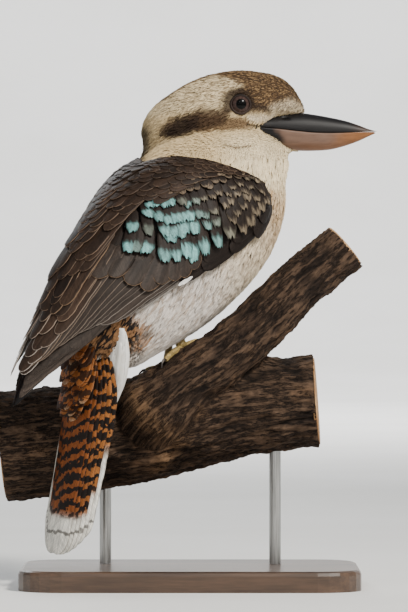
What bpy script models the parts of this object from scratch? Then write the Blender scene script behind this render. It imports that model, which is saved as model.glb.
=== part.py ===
"""A laughing kookaburra, life size, on a cut fork of a branch that a plain stand holds up.

Metres, +Z up, with the origin at the centre of the stand's underside. Seen from -Y the bird sits with
its back to the left, its body heading to the right and away, and its head in right profile.
"""

import math

import bmesh
import bpy
import numpy as np
from mathutils import Matrix, Vector
from mathutils.bvhtree import BVHTree

GAP = 0.0003  # between nodes that touch

# The body: where its middle is, the way it heads and how far it leans back
BODY_MIDDLE = np.array((-0.0166, 0.0, 0.2278))
BODY_HEADING = math.radians(40)
BODY_PITCH = math.radians(42)

# Torso sections along the body: place, back's height, belly's depth, half width
TORSO = (
    (-0.102, 0.012, 0.008, 0.010),
    (-0.096, 0.024, 0.018, 0.020),
    (-0.0815, 0.038, 0.0345, 0.0300),
    (-0.059, 0.050, 0.0430, 0.0375),
    (-0.035, 0.0570, 0.0510, 0.0420),
    (-0.010, 0.0570, 0.0575, 0.0440),
    (0.017, 0.0570, 0.0610, 0.0450),
    (0.043, 0.0560, 0.0615, 0.0445),
    (0.065, 0.0480, 0.0570, 0.0425),
    (0.085, 0.0350, 0.0460, 0.0380),
    (0.102, 0.0230, 0.0280, 0.0270),
    (0.112, 0.0090, 0.0120, 0.0130),
)

# The neck: level sections, as height, middle forward and across, half length and half width
NECK = (
    (0.252, 0.012, 0.028, 0.030, 0.028),
    (0.262, 0.0130, 0.030, 0.046, 0.038),
    (0.279, 0.0145, 0.033, 0.0520, 0.0385),
    (0.293, 0.0165, 0.035, 0.0515, 0.0360),
    (0.303, 0.0170, 0.036, 0.0480, 0.0320),
    (0.316, 0.0160, 0.037, 0.0300, 0.0200),
)

# The head: its own middle is between the eyes, and it faces along +X
HEAD_MIDDLE = np.array((0.0308, 0.0370, 0.3283))
SKULL = (  # forward, top, bottom, half width
    (-0.0650, -0.014, -0.022, 0.004),
    (-0.0620, -0.0075, -0.0300, 0.0130),
    (-0.0565, 0.0000, -0.0360, 0.0210),
    (-0.0478, 0.0068, -0.0390, 0.0270),
    (-0.0342, 0.0155, -0.0390, 0.0305),
    (-0.0206, 0.0213, -0.0390, 0.0315),
    (-0.0070, 0.0243, -0.0370, 0.0305),
    (0.0066, 0.0248, -0.0300, 0.0275),
    (0.0168, 0.0235, -0.0200, 0.0240),
    (0.0270, 0.0215, -0.0105, 0.0195),
    (0.0352, 0.0174, -0.0085, 0.0160),
    (0.0412, 0.0115, -0.0071, 0.0125),
    (0.0465, 0.0026, -0.0062, 0.0080),
    (0.0488, -0.0028, -0.0062, 0.0040),
)
SKULL_HALF_WIDTH = max(row[3] for row in SKULL)
CHIN = (
    (-0.0200, -0.0200, -0.0360, 0.020),
    (-0.0170, -0.0200, -0.0390, 0.0260),
    (0.0000, -0.0220, -0.0370, 0.0240),
    (0.0148, -0.0240, -0.0345, 0.0190),
    (0.0270, -0.0260, -0.0328, 0.0140),
    (0.0372, -0.0282, -0.0318, 0.0095),
    (0.0440, -0.0300, -0.0312, 0.0040),
)

# The bill: forward, culmen, mouth line, gonys, half width
BILL = (
    (0.0040, -0.0090, -0.0135, -0.0190, 0.0120),
    (0.0148, -0.0078, -0.0150, -0.0245, 0.0142),
    (0.0270, -0.0060, -0.0160, -0.0285, 0.0134),
    (0.0372, -0.0051, -0.0172, -0.0306, 0.0123),
    (0.0453, -0.0051, -0.0180, -0.0311, 0.0112),
    (0.0550, -0.0063, -0.0188, -0.0311, 0.0098),
    (0.0661, -0.0083, -0.0190, -0.0302, 0.0081),
    (0.0772, -0.0108, -0.0187, -0.0273, 0.0062),
    (0.0861, -0.0138, -0.0182, -0.0240, 0.0044),
    (0.0920, -0.0161, -0.0180, -0.0212, 0.0028),
    (0.0957, -0.0172, -0.0180, -0.0195, 0.0015),
)
BILL_TIP_FORWARD = 0.0981
NOSTRIL = (0.0345, -0.0088)  # forward and up, on the bill's side
NOSTRIL_SIZE = (0.0030, 0.0016, 0.0009)

EYE_PLACE = (0.0037, -0.0003)  # forward and up from the head's middle
EYEBALL_RADIUS = 0.0084
EYE_OPENING_RADIUS = 0.0064
EYE_STANDS_OUT = 0.0022
LID_THICKNESS = 0.0007

# The folded wing lies on this arch over the back: place, middle height, height, half width
ARCH = (
    (0.0850, 0.0000, 0.0420, 0.0430),
    (0.0500, 0.0000, 0.0585, 0.0500),
    (0.0200, 0.0000, 0.0615, 0.0515),
    (-0.0360, 0.0000, 0.0602, 0.0490),
    (-0.0730, 0.0020, 0.0515, 0.0412),
    (-0.1040, 0.0040, 0.0380, 0.0315),
    (-0.1320, 0.0060, 0.0280, 0.0215),
    (-0.1500, 0.0080, 0.0200, 0.0140),
    (-0.1680, 0.0080, 0.0100, 0.0080),
)
LEFT_TUCK = 0.90  # the left wing lies closer to the body at the rear than the right one
TUCK_REACH = 0.060
WING_FRONT = 0.0780
WING_CORE_REAR = -0.1000
WING_LOWER_EDGE = (  # along, and how far round the arch the edge is
    (-0.17, 0.80), (-0.122, 0.82), (-0.091, 0.92), (-0.076, 0.97), (-0.044, 1.03), (-0.018, 1.13),
    (0.013, 1.26), (0.038, 1.38), (0.056, 1.38), (0.070, 1.26), (0.08, 1.16),
)
WING_UPPER_EDGE = (
    (-0.17, 0.10), (-0.10, 0.03), (-0.03, 0.05), (0.01, 0.22), (0.04, 0.45), (0.06, 0.62), (0.08, 0.84),
)
PAD_TOP = -0.0065  # the pad's outer face at the rear, below the arch
PAD_RISE = 0.0075
PAD_INSIDE = -0.0110

# Each tier, from the lowest vane to the highest: count, width, level of its root and of its vanes, the
# step between overlapping vanes, then the root and tip of its lowest vane and of its highest, as along
# and turn
TIERS = (
    (8, 0.0130, -0.0068, -0.0016, 0.0013,
     ((-0.020, 1.02), (-0.112, 0.93)), ((-0.050, 0.24), (-0.148, 0.42))),
    (8, 0.0150, -0.0050, 0.0012, 0.0013,
     ((0.036, 1.20), (-0.022, 1.06)), ((-0.020, 0.32), (-0.079, 0.34))),
    (6, 0.0170, -0.0035, 0.0036, 0.0013,
     ((0.036, 0.58), (-0.040, 0.48)), ((-0.020, 0.11), (-0.105, 0.11))),
)
# The primaries lie flat on one another: count, width, level of the root, the lowest and the step
PRIMARIES = (6, 0.0120, -0.0088, -0.0090, 0.00085)
PRIMARY_ENDS = ((-0.070, 0.96), (-0.161, 0.87)), ((-0.070, 0.88), (-0.128, 0.80))

# A vane's half width along it, as shares of its length and of its width
VANE_SHAPE = ((0.0, 0.55), (0.3, 0.95), (0.65, 1.0), (0.90, 0.70), (1.0, 0.22))
VANE_THICKNESS = 0.0006
LEAST_SPACING = 0.005

# The tail: its root on the body, its slope below level and its feathers
TAIL_ROOT = (-0.091, 0.001, 0.0)  # along, up and right on the body
TAIL_PITCH = math.radians(86)
TAIL_SWAY = math.radians(6)  # towards the bird's left, in the tail's own plane
TAIL_LENGTH = 0.1450
TAIL_BEND = 0.007  # how far the tip bends back
TAIL_ARCH = 0.14
RECTRICES = 6  # on each side
RECTRIX_WIDTH = 0.0170
TAIL_STEP = 0.0034  # how much shorter the outer feathers are
TAIL_WIDEST = 0.35  # share of the length
TAIL_LAYER = 0.0008  # between the middles of vanes that overlap
TAIL_CORE = (  # along the tail from its root, half width and half thickness
    (-0.018, 0.005, 0.003),
    (-0.014, 0.013, 0.009),
    (0.002, 0.0200, 0.013),
    (0.024, 0.0205, 0.0090),
    (0.042, 0.016, 0.0045),
    (0.046, 0.008, 0.002),
)
TAIL_CORE_DROP = 0.003

# The white tuft under the tail: its root from the tail's, its core and its locks
TUFT_PLACE = (-0.004, 0.0115, -0.0185)  # down the tail, right and away from its face
TUFT_CORE = (
    (-0.004, 0.004, 0.003),
    (0.0, 0.013, 0.007),
    (0.012, 0.0150, 0.0075),
    (0.024, 0.0100, 0.0045),
    (0.030, 0.004, 0.002),
)
LOCKS = 7
LOCK_LENGTH = 0.060
LOCK_WIDTH = 0.0085
LOCK_THICKNESS = 0.0014
LOCK_SHAPE = ((0, 0.8), (0.3, 1.0), (0.6, 0.8), (0.85, 0.45), (1.0, 0.12))
LOCK_SPREAD = 0.011

# The perch: a main limb and a rising fork, as forward, across, up and radius
LIMB = (
    (-0.1285, 0.0250, 0.0940, 0.0375),
    (-0.0918, 0.0245, 0.0974, 0.0365),
    (-0.0442, 0.0210, 0.1036, 0.0350),
    (0.0034, 0.0175, 0.1140, 0.0345),
    (0.0442, 0.0140, 0.1223, 0.0325),
    (0.0864, 0.0120, 0.1255, 0.0310),
)
FORK = (
    (-0.0290, 0.0090, 0.1110, 0.0270),
    (-0.0220, -0.0020, 0.1205, 0.0265),
    (-0.0034, -0.0075, 0.1375, 0.0215),
    (0.0238, -0.0060, 0.1566, 0.0196),
    (0.0480, -0.0030, 0.1790, 0.0183),
    (0.0714, 0.0000, 0.2018, 0.0178),
    (0.1054, 0.0040, 0.2310, 0.0172),
)

PERCH_ROUGHNESS = 0.035  # height of the bark's slow ripples, as a share of the radius

# The legs: where each stands along the fork and how far round it, and its hip on the body
LEGS = (
    ("leg_right", 0.0070, 0.16, (-0.028, -0.030, 0.013)),
    ("leg_left", -0.0060, 0.84, (-0.012, -0.034, -0.008)),
)
TARSUS_RADIUS = 0.0026
TOE_RADIUS = 0.0021
CLAW_LENGTH = 0.008
CLAW_RADIUS = 0.00135
# Each toe's step along the fork and round it
TOES = (
    ("inner", 0.006, 0.70),
    ("middle", 0.014, 1.05),
    ("outer", 0.019, 0.80),
    ("hind", -0.010, -0.62),
)

# The stand
BASE_SIZE = (0.230, 0.150, 0.014)
BASE_CORNER = 0.030
BASE_BEVEL = 0.003
ROD_RADIUS = 0.004
ROD_PLACES = (-0.058, 0.058)
ROD_INTO_PERCH = 0.010

# The skin over torso, neck and head, and the cuts that part them
SKIN_VOXEL = 0.0034
SKIN_CALM_ROUNDS = 5
SKIN_SHARE_KEPT = 0.11
COLLAR_POINT = (0.012, 0.03, 0.2870)
COLLAR_NORMAL = (0.20, 0.10, 0.97)
JAW_POINT = (0.0, 0.037, 0.3010)
JAW_NORMAL = (0.22, 0.0, 0.975)
SHARPEST_CORNER = 0.35  # least share of a grown face's step that its vertex normal takes

COLOURS = {
    "brown": ((0.10, 0.070, 0.052), 0.8),
    "cream": ((0.62, 0.56, 0.46), 0.85),
    "rufous": ((0.42, 0.16, 0.04), 0.8),
    "white": ((0.80, 0.79, 0.76), 0.85),
    "dark_bill": ((0.025, 0.023, 0.022), 0.4),
    "pale_bill": ((0.45, 0.30, 0.20), 0.4),
    "eye": ((0.03, 0.015, 0.01), 0.1),
    "leg": ((0.40, 0.36, 0.20), 0.6),
    "claw": ((0.05, 0.045, 0.04), 0.4),
    "bark": ((0.13, 0.085, 0.055), 0.9),
    "stand": ((0.05, 0.045, 0.04), 0.5),
    "steel": ((0.55, 0.55, 0.54), 0.35),
}


def clear_scene():
    for obj in list(bpy.data.objects):
        bpy.data.objects.remove(obj)


def material(name):
    found = bpy.data.materials.get(name)
    if found:
        return found
    made = bpy.data.materials.new(name)
    made.use_nodes = True
    shader = made.node_tree.nodes["Principled BSDF"]
    colour, roughness = COLOURS[name]
    shader.inputs["Base Color"].default_value = (*colour, 1)
    shader.inputs["Roughness"].default_value = roughness
    shader.inputs["Metallic"].default_value = 1.0 if name == "steel" else 0.0
    return made


def smooth(stations, at):
    """The values of a smooth curve through rows of (place, values), at one place."""
    rows = np.array(sorted(stations), float)
    places, values = rows[:, 0], rows[:, 1:]
    slopes = np.gradient(values, places, axis=0)
    at = min(max(at, places[0]), places[-1])
    i = min(int(np.searchsorted(places, at, side="right")) - 1, len(places) - 2)
    i = max(i, 0)
    step = places[i + 1] - places[i]
    t = (at - places[i]) / step
    near = (1 + 2 * t) * (1 - t) ** 2 * values[i] + t * (1 - t) ** 2 * step * slopes[i]
    far = t * t * (3 - 2 * t) * values[i + 1] + t * t * (t - 1) * step * slopes[i + 1]
    return near + far


def axes_of(heading, pitch):
    """Forward, up and right of a body that heads away from +X and leans back."""
    forward = np.array((math.cos(heading) * math.cos(pitch),
                        math.sin(heading) * math.cos(pitch), math.sin(pitch)))
    right = np.array((math.sin(heading), -math.cos(heading), 0.0))
    return forward, np.cross(right, forward), right


BODY_FORWARD, BODY_UP, BODY_RIGHT = axes_of(BODY_HEADING, BODY_PITCH)


def on_body(along, up, right):
    return BODY_MIDDLE + along * BODY_FORWARD + up * BODY_UP + right * BODY_RIGHT


def add_object(name, points, faces, colour):
    mesh = bpy.data.meshes.new(name)
    mesh.from_pydata([tuple(p) for p in points], [], faces)
    bm = bmesh.new()
    bm.from_mesh(mesh)
    bmesh.ops.recalc_face_normals(bm, faces=bm.faces)
    bm.to_mesh(mesh)
    bm.free()
    obj = bpy.data.objects.new(name, mesh)
    bpy.context.scene.collection.objects.link(obj)
    mesh.materials.append(material(colour))
    return obj


def loft(name, rings, colour):
    """A closed skin over rings of equal count, with each end drawn to the middle of its ring."""
    count = len(rings[0])
    points = [p for ring in rings for p in ring]
    first, last = len(points), len(points) + 1
    points += [np.mean(rings[0], axis=0), np.mean(rings[-1], axis=0)]
    faces = []
    for i in range(len(rings) - 1):
        for j in range(count):
            k = (j + 1) % count
            faces.append((i * count + j, i * count + k, (i + 1) * count + k, (i + 1) * count + j))
    top = (len(rings) - 1) * count
    for j in range(count):
        k = (j + 1) % count
        faces.append((first, k, j))
        faces.append((last, top + j, top + k))
    return add_object(name, points, faces, colour)


def oval(count, half_width, up, down, squareness=2.0):
    """Across and up of the points of an oval whose upper and lower halves differ."""
    made = []
    for i in range(count):
        a = 2 * math.pi * i / count
        s, c = math.sin(a), math.cos(a)
        power = 2 / squareness
        across = half_width * math.copysign(abs(s) ** power, s)
        made.append((across, (up if c > 0 else down) * math.copysign(abs(c) ** power, c)))
    return made


def applied(obj):
    """Makes what an object's modifiers give its own mesh."""
    bpy.context.view_layer.update()
    graph = bpy.context.evaluated_depsgraph_get()
    mesh = bpy.data.meshes.new_from_object(obj.evaluated_get(graph))
    obj.modifiers.clear()
    obj.data = mesh
    return obj


def keep_largest(obj):
    """Leaves only the closed surface with the largest volume."""
    bm = bmesh.new()
    bm.from_mesh(obj.data)
    bmesh.ops.triangulate(bm, faces=bm.faces)
    unseen, groups = set(bm.faces), []
    while unseen:
        group, edge = set(), [next(iter(unseen))]
        while edge:
            face = edge.pop()
            if face not in unseen:
                continue
            unseen.discard(face)
            group.add(face)
            # A pinched edge has four faces, and only touches what lies beyond it.
            joined = [e for e in face.edges if len(e.link_faces) == 2]
            edge += [g for e in joined for g in e.link_faces if g in unseen]
        groups.append(group)

    def volume(group):
        total = 0.0
        for face in group:
            first, second, third = (v.co for v in face.verts)
            total += first.dot(second.cross(third))
        return abs(total)

    groups.sort(key=volume, reverse=True)
    spare = [face for group in groups[1:] for face in group]
    bmesh.ops.delete(bm, geom=spare, context="FACES")
    loose = [v for v in bm.verts if not v.link_faces]
    bmesh.ops.delete(bm, geom=loose, context="VERTS")
    bm.to_mesh(obj.data)
    bm.free()
    return obj


def combined(obj, others, operation, solver="EXACT"):
    """One Boolean of obj with all the others."""
    group = bpy.data.collections.new("operands")
    bpy.context.scene.collection.children.link(group)
    for other in others:
        group.objects.link(other)
    change = obj.modifiers.new("change", "BOOLEAN")
    change.operation = operation
    change.operand_type = "COLLECTION"
    change.collection = group
    change.solver = solver
    applied(obj)
    for other in others:
        bpy.data.objects.remove(other)
    bpy.data.collections.remove(group)
    return keep_largest(obj)


def swollen(obj, by=GAP):
    """A copy of obj grown outwards, to cut its neighbours clear of it."""
    copy = bpy.data.objects.new(obj.name + "_grown", obj.data.copy())
    bpy.context.scene.collection.objects.link(copy)
    bm = bmesh.new()
    bm.from_mesh(copy.data)
    bm.normal_update()
    moves = []
    for v in bm.verts:
        # A vertex on a sharp edge moves further, so that each face still moves by the gap.
        least = min(max(v.normal.dot(f.normal), SHARPEST_CORNER) for f in v.link_faces)
        moves.append(v.normal * (by / least))
    for v, move in zip(bm.verts, moves):
        v.co += move
    bm.to_mesh(copy.data)
    bm.free()
    return copy


def cut_clear(obj, *neighbours, by=GAP * 1.15):
    return combined(obj, [swollen(n, by) for n in neighbours], "DIFFERENCE", "MANIFOLD")


def remeshed(pieces, name, voxel, rounds, share, colour):
    """One smooth skin over overlapping closed pieces, which it takes the place of."""
    bm = bmesh.new()
    for piece in pieces:
        bm.from_mesh(piece.data)
        bpy.data.objects.remove(piece)
    mesh = bpy.data.meshes.new(name)
    bm.to_mesh(mesh)
    bm.free()
    obj = bpy.data.objects.new(name, mesh)
    bpy.context.scene.collection.objects.link(obj)
    skin = obj.modifiers.new("skin", "REMESH")
    skin.mode = "VOXEL"
    skin.voxel_size = voxel
    even = obj.modifiers.new("even", "SMOOTH")
    even.factor = 0.5
    even.iterations = rounds
    fewer = obj.modifiers.new("fewer", "DECIMATE")
    fewer.ratio = share
    applied(obj)
    obj.data.materials.clear()
    obj.data.materials.append(material(colour))
    return keep_largest(obj)


def half_space(name, point, normal, depth=0.4):
    """A large block whose one face passes through a point, and which lies on the normal's side."""
    bm = bmesh.new()
    bmesh.ops.create_cube(bm, size=1)
    turn = Vector(normal).to_track_quat("Z", "Y").to_matrix().to_4x4()
    place = Matrix.Translation(Vector(point)) @ turn @ Matrix.Translation((0, 0, depth / 2))
    bmesh.ops.transform(bm, matrix=place @ Matrix.Diagonal((depth, depth, depth, 1)), verts=bm.verts)
    mesh = bpy.data.meshes.new(name)
    bm.to_mesh(mesh)
    bm.free()
    obj = bpy.data.objects.new(name, mesh)
    bpy.context.scene.collection.objects.link(obj)
    return obj


def beyond(point, normal, side):
    """What a cut through point takes away on one side of it, with half the gap."""
    normal = np.array(normal)
    return half_space("cutter", np.array(point) - side * 0.5 * GAP * normal, side * normal)


def copied(obj, name):
    copy = bpy.data.objects.new(name, obj.data.copy())
    bpy.context.scene.collection.objects.link(copy)
    return copy


def torso_loft():
    rings = []
    for along, up, down, width in TORSO:
        rings.append([on_body(along, v, a) for a, v in oval(28, width, up, down)])
    return loft("torso_form", rings, "cream")


def neck_loft():
    rings = []
    for height, forward, across, length, width in NECK:
        rings.append([np.array((forward + v, across + a, height)) for a, v in
                      oval(28, width, length, length)])
    return loft("neck_form", rings, "cream")


def head_loft(name, rows):
    rings = []
    for forward, top, bottom, width in rows:
        middle, half = (top + bottom) / 2, (top - bottom) / 2
        rings.append([HEAD_MIDDLE + np.array((forward, a, middle + v)) for a, v in
                      oval(24, width, half, half, 2.15)])
    return loft(name, rings, "cream")


def build_body():
    """Torso, neck and head as one skin, parted by thin level cuts."""
    forms = [torso_loft(), neck_loft(), head_loft("skull_form", SKULL), head_loft("chin_form", CHIN)]
    whole = remeshed(forms, "whole", SKIN_VOXEL, SKIN_CALM_ROUNDS, SKIN_SHARE_KEPT, "cream")
    torso = copied(whole, "torso")
    neck = copied(whole, "neck")
    head = copied(whole, "head")
    bpy.data.objects.remove(whole)
    combined(torso, [beyond(COLLAR_POINT, COLLAR_NORMAL, 1)], "DIFFERENCE")
    combined(neck, [beyond(COLLAR_POINT, COLLAR_NORMAL, -1), beyond(JAW_POINT, JAW_NORMAL, 1)],
             "DIFFERENCE")
    combined(head, [beyond(JAW_POINT, JAW_NORMAL, -1)], "DIFFERENCE")
    return torso, neck, head


def bill_half(name, upper, colour, count=14, steps=15):
    """One mandible: flat where the two meet, round on the outside, with the mouth line between."""
    rings = []
    for i in range(steps):
        forward = BILL[0][0] + (BILL[-1][0] - BILL[0][0]) * i / (steps - 1)
        culmen, mouth, gonys, width = smooth(BILL, forward)
        flat = mouth + GAP * 0.6 if upper else mouth - GAP * 0.6
        reach = culmen - flat if upper else gonys - flat
        ring = []
        for j in range(count):
            a = math.pi * j / (count - 1)
            # The side walls stand steeply from the mouth line, then round over.
            across = width * math.copysign(abs(math.cos(a)) ** 0.8, math.cos(a))
            rise = max(0.0, math.sin(a)) ** 0.9
            ring.append(HEAD_MIDDLE + np.array((forward, across, flat + reach * rise)))
        rings.append(ring)
    made = loft(name, rings, colour)
    tip_up = BILL[-1][2] + (GAP if upper else -3 * GAP)
    tip_forward = BILL_TIP_FORWARD if upper else BILL[-1][0] + 0.0012
    made.data.vertices[-1].co = Vector(HEAD_MIDDLE + np.array((tip_forward, 0, tip_up)))
    return made


def ellipsoid(name, centre, sizes, colour, segments=16, rings=10):
    bm = bmesh.new()
    bmesh.ops.create_uvsphere(bm, u_segments=segments, v_segments=rings, radius=1)
    bmesh.ops.transform(bm, matrix=Matrix.Translation(Vector(centre)) @ Matrix.Diagonal((*sizes, 1)),
                        verts=bm.verts)
    mesh = bpy.data.meshes.new(name)
    bm.to_mesh(mesh)
    bm.free()
    obj = bpy.data.objects.new(name, mesh)
    bpy.context.scene.collection.objects.link(obj)
    mesh.materials.append(material(colour))
    return obj


def build_bill(head):
    upper = bill_half("bill_upper", True, "dark_bill")
    lower = bill_half("bill_lower", False, "pale_bill")
    forward, up = NOSTRIL
    width = smooth(BILL, forward)[3]
    pits = [ellipsoid("pit", HEAD_MIDDLE + np.array((forward, side * width * 0.80, up)), NOSTRIL_SIZE,
                      "dark_bill", 12, 8) for side in (-1, 1)]
    for mandible in (upper, lower):
        cut_clear(mandible, head)
    combined(upper, pits, "DIFFERENCE", "MANIFOLD")
    return upper, lower


def torus(name, centre, axis, radius, thickness, colour):
    axis = Vector(axis).normalized()
    side = axis.orthogonal().normalized()
    other = axis.cross(side)
    points, faces, major, minor = [], [], 20, 6
    for i in range(major):
        a = 2 * math.pi * i / major
        out = side * math.cos(a) + other * math.sin(a)
        for j in range(minor):
            b = 2 * math.pi * j / minor
            points.append(Vector(centre) + out * (radius + thickness * math.cos(b))
                          + axis * thickness * math.sin(b))
    for i in range(major):
        for j in range(minor):
            k, m = (i + 1) % major, (j + 1) % minor
            faces.append((i * minor + j, k * minor + j, k * minor + m, i * minor + m))
    return add_object(name, points, faces, colour)


def build_eyes(head):
    """Eyeballs set in sockets, with a raised ring of lid round each."""
    tree = BVHTree.FromObject(head, bpy.context.evaluated_depsgraph_get())
    eyes = []
    for name, side in (("eye_right", -1), ("eye_left", 1)):
        start = Vector(HEAD_MIDDLE + np.array((EYE_PLACE[0], side * 2 * SKULL_HALF_WIDTH, EYE_PLACE[1])))
        hit, normal, _, _ = tree.ray_cast(start, Vector((0, -side, 0)))
        normal = (normal + Vector((0.10, side * 1.2, 0.0))).normalized()
        centre = hit + normal * (EYE_STANDS_OUT - EYEBALL_RADIUS)
        reach = math.sqrt(EYEBALL_RADIUS ** 2 - EYE_OPENING_RADIUS ** 2)
        lid = torus("lid", centre + normal * reach, normal, EYE_OPENING_RADIUS + LID_THICKNESS * 0.8,
                    LID_THICKNESS, "cream")
        combined(head, [lid], "UNION")
        socket = ellipsoid("socket", centre, (EYEBALL_RADIUS + GAP,) * 3, "eye", 16, 10)
        combined(head, [socket], "DIFFERENCE")
        eyes.append(ellipsoid(name, centre, (EYEBALL_RADIUS,) * 3, "eye", 16, 10))
    return eyes


def arch_point(along, turn, side=1):
    """A point of the arch that the wing lies on. turn is 0 at the back's middle line, 1 at the side."""
    middle, height, width = smooth(ARCH, along)
    if side < 0:
        tuck = 1 - (1 - LEFT_TUCK) * min(1.0, max(0.0, -along / TUCK_REACH))
        height, width = height * tuck, width * tuck
    a = turn * math.pi / 2
    return on_body(along, middle + height * math.cos(a), side * width * math.sin(a))


def arch_frame(along, turn, side=1):
    """Steps along and round the arch, and its outward normal."""
    step = 0.001
    ahead = (arch_point(along + step, turn, side) - arch_point(along - step, turn, side)) / (2 * step)
    spin = (arch_point(along, turn + step, side) - arch_point(along, turn - step, side)) / (2 * step)
    normal = np.cross(spin, ahead) * side
    return ahead, spin, normal / np.linalg.norm(normal)


def vane(name, path, width, colour, thickness=VANE_THICKNESS, shape=VANE_SHAPE):
    """A flat feather along path(t), which gives a point, its side direction, its normal and its slant.

    Its faces are split alike on both sides. The slant raises one edge, so that neighbours pass clear.
    """
    points, faces = [], []
    for t, share in shape:
        middle, side, normal, slant = path(t)
        half = 0.5 * width * share
        thick = normal * thickness * (0.5 if t < 0.9 else 0.35)
        for edge in (-1, 1):
            for face in (1, -1):
                points.append(middle + (side + normal * slant) * half * edge + thick * face)
    for i in range(len(shape) - 1):
        a, b = 4 * i, 4 * (i + 1)
        # Each row holds left top, left bottom, right top and right bottom.
        faces += [(a, b, b + 2), (a, b + 2, a + 2)]
        faces += [(a + 1, b + 3, b + 1), (a + 1, a + 3, b + 3)]
        faces += [(a, a + 1, b + 1), (a, b + 1, b)]
        faces += [(a + 2, b + 2, b + 3), (a + 2, b + 3, a + 3)]
    last = 4 * (len(shape) - 1)
    faces += [(0, 2, 3), (0, 3, 1), (last, last + 1, last + 3), (last, last + 3, last + 2)]
    return add_object(name, points, faces, colour)


def arch_route(root, tip, t):
    """Where a vane's axis is on the arch at t, as along and turn."""
    return root[0] + (tip[0] - root[0]) * t, root[1] + (tip[1] - root[1]) * t


def arch_vane_path(root, tip, slant, deep, height, side, sink=0.25):
    """The path of a vane over the arch, from its sunk root. slant(t) is the slope of its width."""
    def path(t):
        along, turn = arch_route(root, tip, t)
        ahead, spin, normal = arch_frame(along, turn, side)
        rise = min(1.0, t / sink)
        lift = deep + (height - deep) * rise * rise * (3 - 2 * rise)
        heading = ahead * (tip[0] - root[0]) + spin * (tip[1] - root[1])
        heading /= np.linalg.norm(heading)
        across = np.cross(normal, heading)
        return arch_point(along, turn, side) + normal * lift, across, normal, side * slant(t)
    return path


def shingled(root, tip, beside, layer):
    """The slant that passes a vane clear of the next one up, whose root and tip beside holds."""
    def slant(t):
        along, turn = arch_route(root, tip, t)
        _, spin, _ = arch_frame(along, turn)
        spacing = abs(arch_route(*beside, t)[1] - turn) * np.linalg.norm(spin)
        return layer / max(LEAST_SPACING, spacing)
    return slant


def fan(first, last, count):
    """Evenly stepped (root, tip) pairs from the lowest vane to the highest, and one beyond."""
    made = []
    for i in range(count + 1):
        share = i / (count - 1)
        root = tuple(a + (b - a) * share for a, b in zip(first[0], last[0]))
        tip = tuple(a + (b - a) * share for a, b in zip(first[1], last[1]))
        made.append((root, tip))
    return made


def wing_core(side):
    """The arm and its coverts: a curved pad that thins to its rim and to the rear."""
    rows, columns = 12, 9
    inside, outside = [], []
    for i in range(rows):
        along = WING_CORE_REAR + (WING_FRONT - WING_CORE_REAR) * i / (rows - 1)
        low = float(smooth(WING_LOWER_EDGE, along)[0])
        high = float(smooth(WING_UPPER_EDGE, along)[0])
        outer, inner = [], []
        for j in range(columns):
            part = j / (columns - 1)
            turn = high + (low - high) * part
            # Thickness falls to the rim, and the pad drops below the feathers towards the rear.
            rim = (1 - abs(2 * part - 1) ** 5) * (1 - (i / (rows - 1)) ** 14)
            front = (along - WING_CORE_REAR) / (WING_FRONT - WING_CORE_REAR)
            level = PAD_TOP + PAD_RISE * min(1.0, front * 1.6) * rim
            _, _, normal = arch_frame(along, turn, side)
            place = arch_point(along, turn, side)
            outer.append(place + normal * level)
            inner.append(place + normal * PAD_INSIDE)
        outside.append(outer)
        inside.append(inner)
    rings = [outer + inner[::-1] for outer, inner in zip(outside, inside)]
    return loft("core", rings, "brown")


def build_wing(name, side):
    core = wing_core(side)
    pieces = []
    for count, width, deep, height, layer, first, last in TIERS:
        places = fan(first, last, count)
        for i in range(count):
            slant = shingled(*places[i], places[i + 1], layer)
            path = arch_vane_path(*places[i], slant, deep, height, side)
            pieces.append(vane("vane", path, width, "brown"))
    count, width, deep, lowest, step = PRIMARIES
    for i, ends in enumerate(fan(*PRIMARY_ENDS, count)[:count]):
        path = arch_vane_path(*ends, lambda t: 0.0, deep, lowest + step * i, side)
        pieces.append(vane("vane", path, width, "brown"))
    combined(core, pieces, "UNION", "MANIFOLD")
    middle = half_space("middle", on_body(0, 0, side * GAP * 0.6), -side * BODY_RIGHT)
    combined(core, [middle], "DIFFERENCE", "MANIFOLD")
    core.name = name
    return core


def tail_axes():
    """The tail's way down, its right and its upper face's normal."""
    straight = np.array((-math.cos(BODY_HEADING) * math.cos(TAIL_PITCH),
                         -math.sin(BODY_HEADING) * math.cos(TAIL_PITCH), -math.sin(TAIL_PITCH)))
    down = straight * math.cos(TAIL_SWAY) - BODY_RIGHT * math.sin(TAIL_SWAY)
    right = BODY_RIGHT * math.cos(TAIL_SWAY) + straight * math.sin(TAIL_SWAY)
    return down, right, np.cross(right, -down)


def rectrix_path(side, i):
    """The path of the tail feather that is i places out from the middle on one side."""
    down, right, face = tail_axes()
    length = TAIL_LENGTH * (1.0 - TAIL_STEP * i * i)
    start = side * (0.0022 + 0.0020 * i)
    end = side * (0.0035 + 0.0027 * i)
    widest = side * (0.0040 + 0.0032 * i)
    level = -TAIL_LAYER * i - (0.5 * TAIL_LAYER if side < 0 else 0.0)

    def path(t):
        spread = 1 - (1 - min(1.0, t / TAIL_WIDEST)) ** 2
        close = max(0.0, (t - TAIL_WIDEST) / (1 - TAIL_WIDEST))
        across = start + (widest - start) * spread + (end - widest) * close
        centre = (on_body(*TAIL_ROOT) + down * (0.004 + (length - 0.004) * t) + right * across
                  + face * (level - across * across / TAIL_ARCH + TAIL_BEND * t * t))
        lean = -2 * across / TAIL_ARCH
        normal = face - right * lean
        normal = normal / np.linalg.norm(normal)
        heading = down * length + face * 2 * TAIL_BEND * t
        heading /= np.linalg.norm(heading)
        return centre, np.cross(normal, heading), normal, 0.0
    return path


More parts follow.
